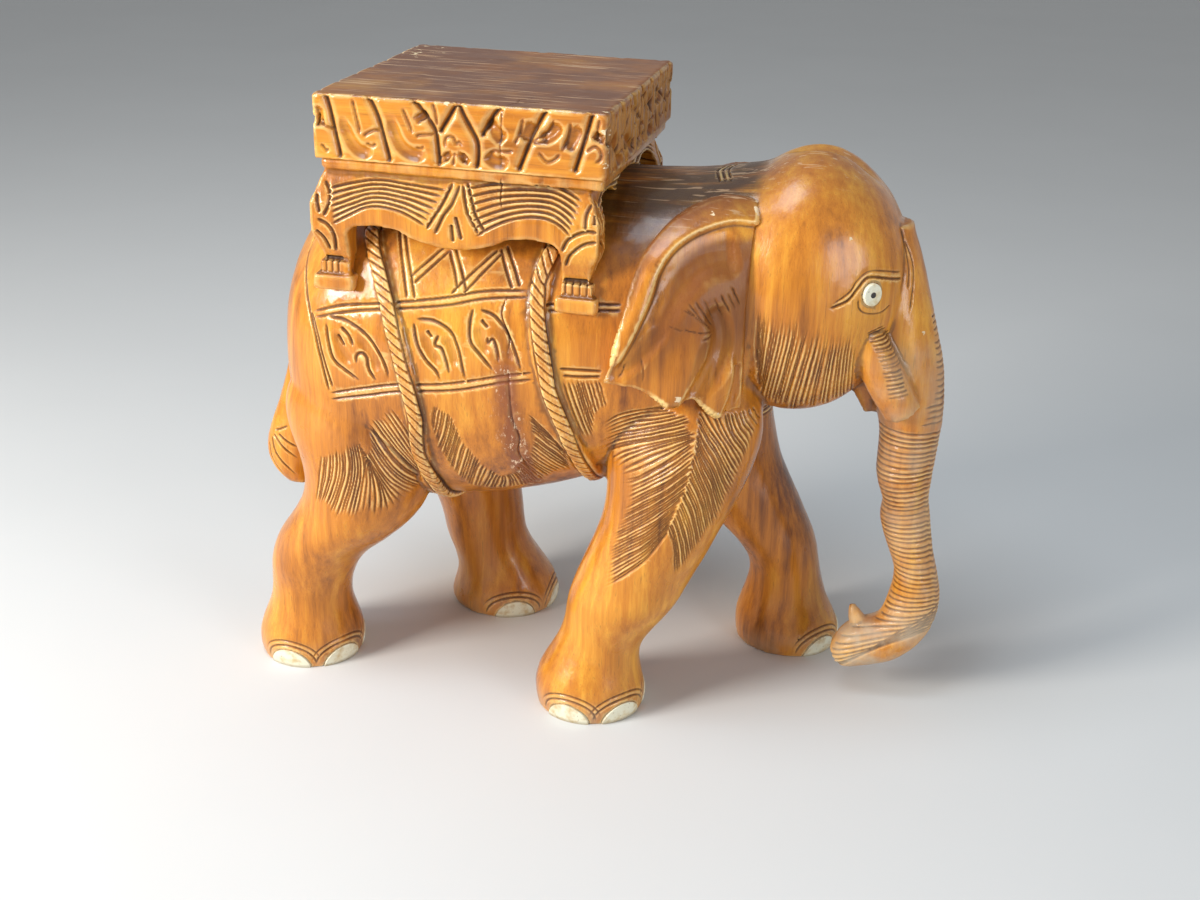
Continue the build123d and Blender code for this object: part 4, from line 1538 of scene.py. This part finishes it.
# ---- ears -------------------------------------------------------------------------------------
@dataclass
class Ears:
    """The two ears, with their rolled rims and pleats."""

    frame: dict
    wood: bpy.types.Material
    rng: np.random.Generator
    rim: tuple = ((36, 288), (43, 302), (50, 317), (58, 338), (62, 356), (68, 368), (78, 377),
                  (91, 383), (105, 386), (117, 385))
    bowl: tuple = ((56, 310), (66, 332), (77, 351), (92, 364), (114, 367))
    # The rolled rim's dark line along its steep inner side is painted shade.
    rolled: Tool = Tool(Profile.FOLD, 12.5, 3.4, (0.12, 0.0), 0.7)
    pleat: Tool = Tool(Profile.FOLD, 21.0, 4.4, (0.0, 0.4), 0.15)
    valley: Tool = Tool(Profile.GOUGE, 9.0, 2.4, (0.35, 0.1), 0.25)
    hollow: Tool = Tool(Profile.GOUGE, 19.0, 4.6, (0.35, 0.1), 0.0)
    fold_hollow: Tool = Tool(Profile.GOUGE, 10.5, 5.2, (0.35, 0.1), 0.0)
    edge_hollow: Tool = Tool(Profile.GOUGE, 5.0, 2.6, (0.35, 0.1), 0.0)
    hair: Tool = Tool(Profile.VEE, 1.0, 0.8, (0.2, 0.3))
    chips: tuple = (((81, 270), 4), ((34, 283), 4), ((106, 257), 3), ((92, 391), 3))
    voxel: float = 1.8

    def hairs(self, view: View) -> list:
        """Short hairs of the ear's middle."""
        return (HairPatch((((79, 334), (92, 325)), ((82, 339), (95, 322), (103, 315)),
                           ((92, 341), (106, 318)), ((106, 347), (117, 325)), ((114, 347), (119, 336))),
                          4.2, self.hair, 0.2).strokes(view, self.rng)
                + HairPatch((((72, 322), (84, 316)), ((86, 317), (103, 316)), ((95, 307), (108, 315))),
                            4.6, self.hair, 0.2).strokes(view, self.rng))

    def plan(self, ear: Carving, view: View) -> None:
        """Plans an ear's strokes, layer by layer."""
        ear.plan(drawn(view, self.valley, ((76, 324), (65, 313), (50, 295), (34, 284)),
                       ((100, 318), (97, 300), (93, 282), (90, 268))))
        ear.plan(drawn(view, self.hollow, self.bowl))
        ear.plan(drawn(view, self.rolled, self.rim))
        ear.plan(drawn(view, self.pleat, ((81, 270), (90, 287), (96, 303), (95, 317), (88, 331))))
        ear.plan(drawn(view, self.pleat, ((105, 255), (110, 272), (112, 290), (109, 304))))
        ear.plan(drawn(view, self.fold_hollow,
                       ((91, 264), (100, 281), (106, 300), (106, 318), (99, 334))))
        ear.plan(drawn(view, self.edge_hollow, ((113, 257), (117, 275), (117, 292))))
        ear.plan(self.hairs(view) + drawn(view, self.hair, ((46, 296), (44, 288), (40, 283)),
                                          ((56, 300), (58, 288), (57, 279))))

    def mark_colours(self, mesh: bpy.types.Mesh) -> None:
        """Paints shade inside an ear's rim, over the hollow under it, and chips its edge."""
        points = mesh_points(mesh)
        x, z = points[:, 0], points[:, 2]
        rim = smooth_path(self.rim, 1.0)
        gap = np.min(np.hypot(x[:, None] - rim[:, 0], z[:, None] - rim[:, 1]), axis=1)
        # Painted shade in the hollow inside the rim.
        set_attribute(mesh, "shade", between(6, 14, gap) * between(270, 325, z))
        chip = between(115, 119.5, x) * between(378, 392, z)
        for place, size in self.chips:
            gap = np.hypot(x - place[0], z - place[1])
            chip = np.maximum(chip, 1 - between(0.4 * size, size, gap))
        set_attribute(mesh, "chip", chip)

    def build(self) -> None:
        """Carves both ears."""
        nodes = self.frame["nodes"]
        for side, view in (("right", View.RIGHT), ("left", View.LEFT)):
            name = f"ear_{side}_carved"
            blank = merged_copy([nodes["ear_" + side], nodes["ear_peg_" + side]], "ear_blank")
            ear = Carving(name, blank, self.voxel)
            self.plan(ear, view)
            ear.sharpen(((1.2,)))
            ear.roughen((24, 0.4), (8, 0.2))
            ear.carve()
            self.mark_colours(ear.mesh)
            finished(name, ear.mesh, self.wood, "ear_" + side)


# ---- the howdah: stand and seat ---------------------------------------------------------------
@dataclass(frozen=True)
class Face:
    """One upright face of the stand or seat, on which a drawing of the near face is laid.

    Args:
        view: the side that it is seen from.
        middle: where the near face's middle lies on it.
        stretch: its width against the near face's.
        near_middle: the middle of the near face.
    """

    view: View
    middle: float
    stretch: float
    near_middle: float

    def laid(self, tool: Tool, *paths: Path) -> list:
        """Moves paths of the near face here and draws them."""
        return drawn(self.view, tool, *[tuple((self.middle + (s - self.near_middle) * self.stretch, z)
                                              for s, z in path) for path in paths])


def four_faces(middle_x: float, half_x: float, half_y: float) -> list:
    """The four faces of a block that is centred on y = 0."""
    ratio = half_y / half_x
    return [Face(View.RIGHT, middle_x, 1.0, middle_x), Face(View.LEFT, middle_x, -1.0, middle_x),
            Face(View.FRONT, 0.0, ratio, middle_x), Face(View.REAR, 0.0, -ratio, middle_x)]


@dataclass
class Howdah:
    """The stand with its arches and knees, and the seat block with its leaf frieze."""

    frame: dict
    wood: bpy.types.Material
    seat_wood: bpy.types.Material
    rng: np.random.Generator
    groove: Tool = Tool(Profile.VEE, 1.55, 1.6, (0.08, 0.08))
    bold: Tool = Tool(Profile.VEE, 2.0, 2.0, (0.1, 0.1))
    hollow: Tool = Tool(Profile.GOUGE, 5.5, 1.3, (0.02, 0.02), 0.1)
    deep: Tool = Tool(Profile.VEE, 2.3, 3.0, (0.02, 0.02))
    ragged: Tool = Tool(Profile.GOUGE, 2.8, 2.8, (0.1, 0.1), 0.8)
    scoop: Tool = Tool(Profile.GOUGE, 6.4, 3.9, (0.3, 0.2), 0.35)
    notch: Tool = Tool(Profile.VEE, 1.8, 1.8, (0.15, 0.15), 0.7)
    fine: Tool = Tool(Profile.VEE, 1.1, 1.0, (0.1, 0.1))
    triangles: int = 185_000

    def arch_lines(self, face: Face) -> list:
        """Seven lines that follow each arch."""
        arches = ((((-165, 371), (-151, 379), (-139, 385), (-129, 386), (-116, 384), (-106, 380), (-97, 375)),
                   ((-167, 395), (-150, 400), (-132, 403), (-115, 402), (-100, 401), (-84, 400))),
                  (((-62, 371), (-55, 376), (-42, 383), (-30, 387), (-16, 388), (-5, 385), (4, 377)),
                   ((-70, 402), (-57, 405), (-44, 407), (-20, 408), (-6, 407), (10, 400))))
        strokes = []
        for low, high in arches:
            a, b = (np.array(smooth_path(path, 1.0)) for path in (low, high))
            share = np.linspace(0, 1, SHARES)
            a, b = (np.stack([np.interp(share, np.linspace(0, 1, len(p)), p[:, k]) for k in (0, 1)], 1)
                    for p in (a, b))
            for i in range(7):
                mix = i / 6
                strokes += face.laid(self.groove, tuple(map(tuple, a * (1 - mix) + b * mix)))
        return strokes

    def pendant(self, face: Face) -> list:
        """Bands of the pendant between the arches."""
        return face.laid(self.bold,
                         ((-80, 405), (-87, 389), (-97, 373)),
                         ((-75, 404), (-79, 392), (-84, 384), (-91, 370)),
                         ((-73, 404), (-68, 388), (-60, 373)), ((-70, 406), (-62, 386), (-55, 374)),
                         ((-79, 378), (-78, 366)), ((-76, 384), (-72, 368)))

    def knees(self, face: Face) -> list:
        """Leaves, knees and slots of the corner legs."""
        left = (((-176, 391), (-174, 378)), ((-171, 400), (-167, 393), (-167, 384), (-171, 376)),
                ((-176, 374), (-168, 370), (-164, 363), (-165, 350)),
                ((-177, 366), (-172, 360), (-169, 351)), ((-179, 345), (-160, 345)))
        right = (((17, 399), (14, 392), (14, 382)), ((20, 393), (20, 386)),
                 ((23, 381), (14, 381), (3, 375), (-2, 366)), ((23, 375), (13, 372), (4, 364), (0, 355)),
                 ((-2, 345), (22, 345)))
        strokes = face.laid(self.bold, *left, *right)
        for x in (-176.5, -172, -167.5, -163, 0, 5, 10, 15, 20):
            strokes += face.laid(self.fine, ((x, 335), (x, 339), (x, 343)))
        return strokes

    def build_stand(self) -> None:
        """Carves the stand."""
        nodes = self.frame["nodes"]
        pegs = [node for name, node in nodes.items() if name.startswith(("stand_peg", "seat_dowel"))]
        stand = Carving("howdah_stand_carved", merged_copy([nodes["howdah_stand"], *pegs], "slab"), 2.6)
        low, high = (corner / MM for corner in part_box("howdah_stand"))
        faces = four_faces((low.x + high.x) / 2, (high.x - low.x) / 2, (high.y - low.y) / 2)
        lines = []
        for face in faces:
            lines += self.arch_lines(face) + self.pendant(face) + self.knees(face)
        stand.plan(lines)
        stand.plan(drawn(View.RIGHT, Tool(Profile.VEE, 0.7, 1.6, (0.1, 0.3)),
                         ((-45, 412), (-46, 400), (-44, 390))), "crack")
        stand.sharpen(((1.5, 0.0)))
        stand.roughen((20, 0.3), (7, 0.2))
        stand.carve()
        finished("howdah_stand_carved", thinned(stand.mesh, self.triangles), self.wood,
                 "howdah_stand")

    def frieze(self, face: Face) -> tuple:
        """The seat's leaf frieze.

        Returns:
            Scoops, the hollows beside the separators, the separators, and fine lines.
        """
        scoops = face.laid(self.scoop,
                           ((-155, 446), (-153, 437), (-148, 428), (-142, 423), (-133, 423)),
                           ((-121, 449), (-118, 436), (-113, 428), (-106, 424), (-95, 423)),
                           ((-173, 452), (-172, 444), (-172, 437)), ((-101, 452), (-97, 446)),
                           ((-54, 452), (-48, 443), (-41, 437)), ((-38, 424), (-48, 423), (-55, 428)),
                           ((-22, 452), (-26, 444), (-30, 438)), ((-4, 452), (-10, 444), (-18, 440)),
                           ((8, 452), (5, 442), (0, 434)), ((23, 447), (20, 441)),
                           ((-80, 421), (-84, 426)), ((-72, 421), (-68, 426)))
        separators = (((-166, 459), (-162, 443), (-157, 418)), ((-136, 460), (-129, 445), (-122, 418)),
                      ((-104, 460), (-97, 451), (-90, 441), (-88, 430), (-87, 418)),
                      ((-74, 460), (-80, 450), (-86, 440)),
                      ((-73, 460), (-71, 454), (-66, 445), (-61, 436), (-60, 427), (-61, 418)),
                      ((-45, 459), (-51, 451), (-57, 440)), ((-14, 459), (-19, 450), (-25, 437), (-32, 419)),
                      ((17, 460), (13, 445), (6, 421)))
        fine = face.laid(self.notch,
                         ((-91, 459), (-89, 452), (-88, 443)),
                         ((-82, 429), (-83, 433), (-81, 437), (-77, 437), (-75, 433), (-73, 434), (-70, 431)),
                         ((-76, 427), (-77, 421), (-77, 418)),
                         ((-147, 458), (-145, 448), (-143, 440), (-142, 434)),
                         ((-140, 433), (-136, 436), (-131, 438), (-128, 437)),
                         ((-138, 429), (-134, 427), (-131, 429)),
                         ((-112, 454), (-108, 445), (-105, 437)),
                         ((-103, 435), (-100, 437), (-90, 438)), ((-103, 428), (-99, 428), (-98, 430)),
                         ((-172, 446), (-173, 437)), ((-170, 443), (-168, 439), (-160, 436)),
                         ((-170, 426), (-167, 422), (-165, 423)), ((-29, 453), (-32, 442), (-35, 435)),
                         ((-53, 428), (-49, 430), (-44, 430), (-35, 431)),
                         ((-8, 454), (-13, 445), (-22, 438), (-11, 439)),
                         ((-19, 432), (-13, 426), (-7, 428), (-4, 432)), ((3, 453), (1, 443), (-3, 433)),
                         ((13, 434), (19, 438), (23, 435), (23, 430), (19, 427)),
                         ((22, 456), (20, 446), (19, 441)))
        return scoops, face.laid(self.hollow, *separators), face.laid(self.deep, *separators), fine

    def ragged_cuts(self, half: float) -> list:
        """Deep uneven cuts down the seat's head side."""
        cuts = []
        for place in np.arange(-half + 5, half - 4, 8.5):
            lean = self.rng.uniform(-5, 5)
            top, foot = self.rng.uniform(452, 459), self.rng.uniform(418, 426)
            middle = place + lean / 2 + self.rng.uniform(-1.5, 1.5)
            cuts += drawn(View.FRONT, self.ragged,
                          ((place, top), (middle, (top + foot) / 2), (place + lean, foot)))
        return cuts

    def build_seat(self) -> None:
        """Carves the seat block."""
        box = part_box("seat_block")
        seat = Carving("seat_block_carved", plain_block("seat_blank", *box, 2.5), 1.9)
        low, high = (corner / MM for corner in box)
        half = (high.y - low.y) / 2
        faces = four_faces((low.x + high.x) / 2, (high.x - low.x) / 2, half)
        layers = [[], [], [], []]
        for face in faces:
            for layer, strokes in zip(layers, self.frieze(face)):
                layer += strokes
        for layer in layers:
            seat.plan(layer)
        seat.plan(self.ragged_cuts(half))
        seat.plan(drawn(View.TOP, Tool(Profile.VEE, 0.6, 0.7, (0.2, 0.4)),
                        ((-43, -106), (-36, -94), (-26, -88), (-10, -84)),
                        ((-36, -94), (-38, -84), (-30, -76)),
                        ((-120, 60), (-60, 58), (-20, 61)))
                  + drawn(View.RIGHT, Tool(Profile.VEE, 0.7, 1.6, (0.05, 0.1)),
                          ((-43, 459), (-44, 450), (-45, 430), (-45, 417))), "crack")
        seat.sharpen((1.0,))
        seat.roughen((26, 0.35), (8, 0.15))
        seat.carve()
        self.mark_seat_colours(seat.mesh, low, high)
        finished("seat_block_carved", seat.mesh, self.seat_wood, "seat_block")

    def build(self) -> None:
        """Carves the stand and the seat block."""
        self.build_stand()
        self.build_seat()

    def mark_seat_colours(self, mesh: bpy.types.Mesh, low: Vector, high: Vector) -> None:
        """Chips the seat's top edge and two of its corners, and paints shade on its head side."""
        x, y, z = mesh_points(mesh).T
        lip = between(453, 458, z) * between(5, 2, high.y - np.abs(y))
        corner = between(26, 6, np.hypot(x - high.x, y - low.y)) * between(418, 424, z)
        rear = between(30, 12, np.hypot(x - low.x - 14, (y - high.y + 30) / 2)) * between(456, 459, z)
        set_attribute(mesh, "chip", np.maximum(np.maximum(0.62 * lip, 0.62 * corner), 0.7 * rear))
        # Painted shade on the head side, which faces away from the key lamp.
        set_attribute(mesh, "shade", 0.7 * between(high.x - 6, high.x - 2, x))


# ---- inlays and joinery -----------------------------------------------------------------------
@dataclass
class Fittings:
    """Nails, eyes, tusks, pegs and dowels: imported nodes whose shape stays."""

    frame: dict

    def dress(self) -> None:
        """Gives each node its finish."""
        bone, pupil, dowel = BoneInlay().material(), Pupil().material(), BareDowel().material()
        for name, node in self.frame["nodes"].items():
            finish = None
            if name.startswith(("toenail", "eye_white", "tusk")):
                finish = bone
            elif "pupil" in name:
                finish = pupil
            elif "peg" in name or "dowel" in name:
                finish = dowel
            if finish is not None:
                for slot in node.material_slots:
                    slot.material = finish
                log.info("%s: %s", name, finish.name)


# ---- the studio -------------------------------------------------------------------------------
@dataclass(frozen=True)
class Lamp:
    """A soft area lamp: its place and size in metres, its power and its tint."""

    name: str
    place: tuple
    size: float
    watts: float
    tint: tuple

    def hang(self) -> None:
        """Hangs the lamp so that it looks at the stool."""
        data = bpy.data.lights.new(self.name, "AREA")
        data.size, data.energy, data.color = self.size, self.watts, self.tint
        lamp = bpy.data.objects.new(self.name, data)
        bpy.context.scene.collection.objects.link(lamp)
        lamp.location = self.place
        lamp.rotation_mode = "QUATERNION"
        lamp.rotation_quaternion = (Vector((0, 0, 0.25)) - Vector(self.place)).to_track_quat("-Z", "Y")


@dataclass(frozen=True)
class Studio:
    """Floor, lamps, backdrop and camera."""

    lamps: tuple = (Lamp("key", (-1.35, -1.2, 0.85), 0.6, 40.0, (1.0, 0.96, 0.90)),
                    Lamp("fill", (1.7, -1.3, 0.6), 0.9, 16.0, (0.88, 0.94, 1.0)),
                    Lamp("top", (-0.45, -0.5, 1.9), 0.9, 20.0, (0.76, 0.88, 1.0)))
    eye: tuple = (255.4, -1093.5, 663.1)
    yaw: float = 12.98
    pitch: float = 23.34
    roll: float = 1.54
    lens: float = 47.47
    floor_size: float = 12.0
    pale: tuple = (0.70, 0.69, 0.67)
    light: tuple = (0.90, 0.95, 1.0, 1.0)
    light_strength: float = 0.32
    backdrop: tuple = (0.86, 0.87, 0.88, 1.0)
    backdrop_strength: float = 0.66

    def camera(self) -> None:
        """Sets the camera at its place and turn."""
        yaw, pitch, roll = (math.radians(angle) for angle in (self.yaw, self.pitch, self.roll))
        ahead = Vector((-math.sin(yaw) * math.cos(pitch), math.cos(yaw) * math.cos(pitch), -math.sin(pitch)))
        right = Vector((math.cos(yaw), math.sin(yaw), 0))
        down = ahead.cross(right)
        across = right * math.cos(roll) - down * math.sin(roll)
        below = right * math.sin(roll) + down * math.cos(roll)
        data = bpy.data.cameras.new("camera")
        data.lens, data.sensor_width = self.lens, 36.0
        data.clip_start, data.clip_end = 0.05, 60.0
        camera = bpy.data.objects.new("camera", data)
        bpy.context.scene.collection.objects.link(camera)
        turn = Matrix((across, -below, -ahead)).transposed().to_4x4()
        camera.matrix_world = Matrix.Translation(Vector(self.eye) * MM) @ turn
        bpy.context.scene.camera = camera

    def floor(self) -> None:
        """Lays a pale floor."""
        mesh = bpy.data.meshes.new("floor")
        with edited(mesh) as bm:
            bmesh.ops.create_grid(bm, x_segments=1, y_segments=1, size=self.floor_size / 2)
        s = Shader("pale_floor")
        cloud = s.noise((3, 3, 3), 3.0)
        darker = tuple(0.94 * part for part in self.pale)
        mesh.materials.append(s.surface(Base_Color=s.mix(self.pale, darker, cloud), Roughness=0.85))
        new_object("floor", mesh)

    def world(self) -> None:
        """Lights the room evenly and shows it pale."""
        world = bpy.data.worlds.new("room")
        world.use_nodes = True
        nodes, links = world.node_tree.nodes, world.node_tree.links
        nodes.clear()
        path = nodes.new("ShaderNodeLightPath")
        seen = nodes.new("ShaderNodeMath")
        seen.operation = "MAXIMUM"
        links.new(path.outputs["Is Camera Ray"], seen.inputs[0])
        links.new(path.outputs["Is Glossy Ray"], seen.inputs[1])
        mixed = nodes.new("ShaderNodeMixShader")
        links.new(seen.outputs[0], mixed.inputs[0])
        pairs = ((self.light, self.light_strength), (self.backdrop, self.backdrop_strength))
        for number, (colour, strength) in enumerate(pairs, 1):
            background = nodes.new("ShaderNodeBackground")
            background.inputs["Color"].default_value = colour
            background.inputs["Strength"].default_value = strength
            links.new(background.outputs[0], mixed.inputs[number])
        output = nodes.new("ShaderNodeOutputWorld")
        links.new(mixed.outputs[0], output.inputs[0])
        bpy.context.scene.world = world

    def build(self) -> None:
        """Sets up the whole studio."""
        self.camera()
        self.floor()
        self.world()
        for lamp in self.lamps:
            lamp.hang()
        bpy.context.scene.view_settings.view_transform = "Standard"


def main() -> None:
    """Builds the studio and every piece."""
    logging.basicConfig(level=logging.INFO, format="%(name)s %(message)s")
    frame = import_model()
    rng = np.random.default_rng(7)
    Studio().build()
    wood = VarnishedWood("carved_hardwood").material()
    seat_wood = VarnishedWood("seat_hardwood", grain=0, wear=0.7, ridges=0.4, age=0.95).material()
    Elephant(frame, wood, rng).build()
    Ears(frame, wood, rng).build()
    Howdah(frame, wood, seat_wood, rng).build()
    Fittings(frame).dress()


if __name__ == "__main__":
    main()
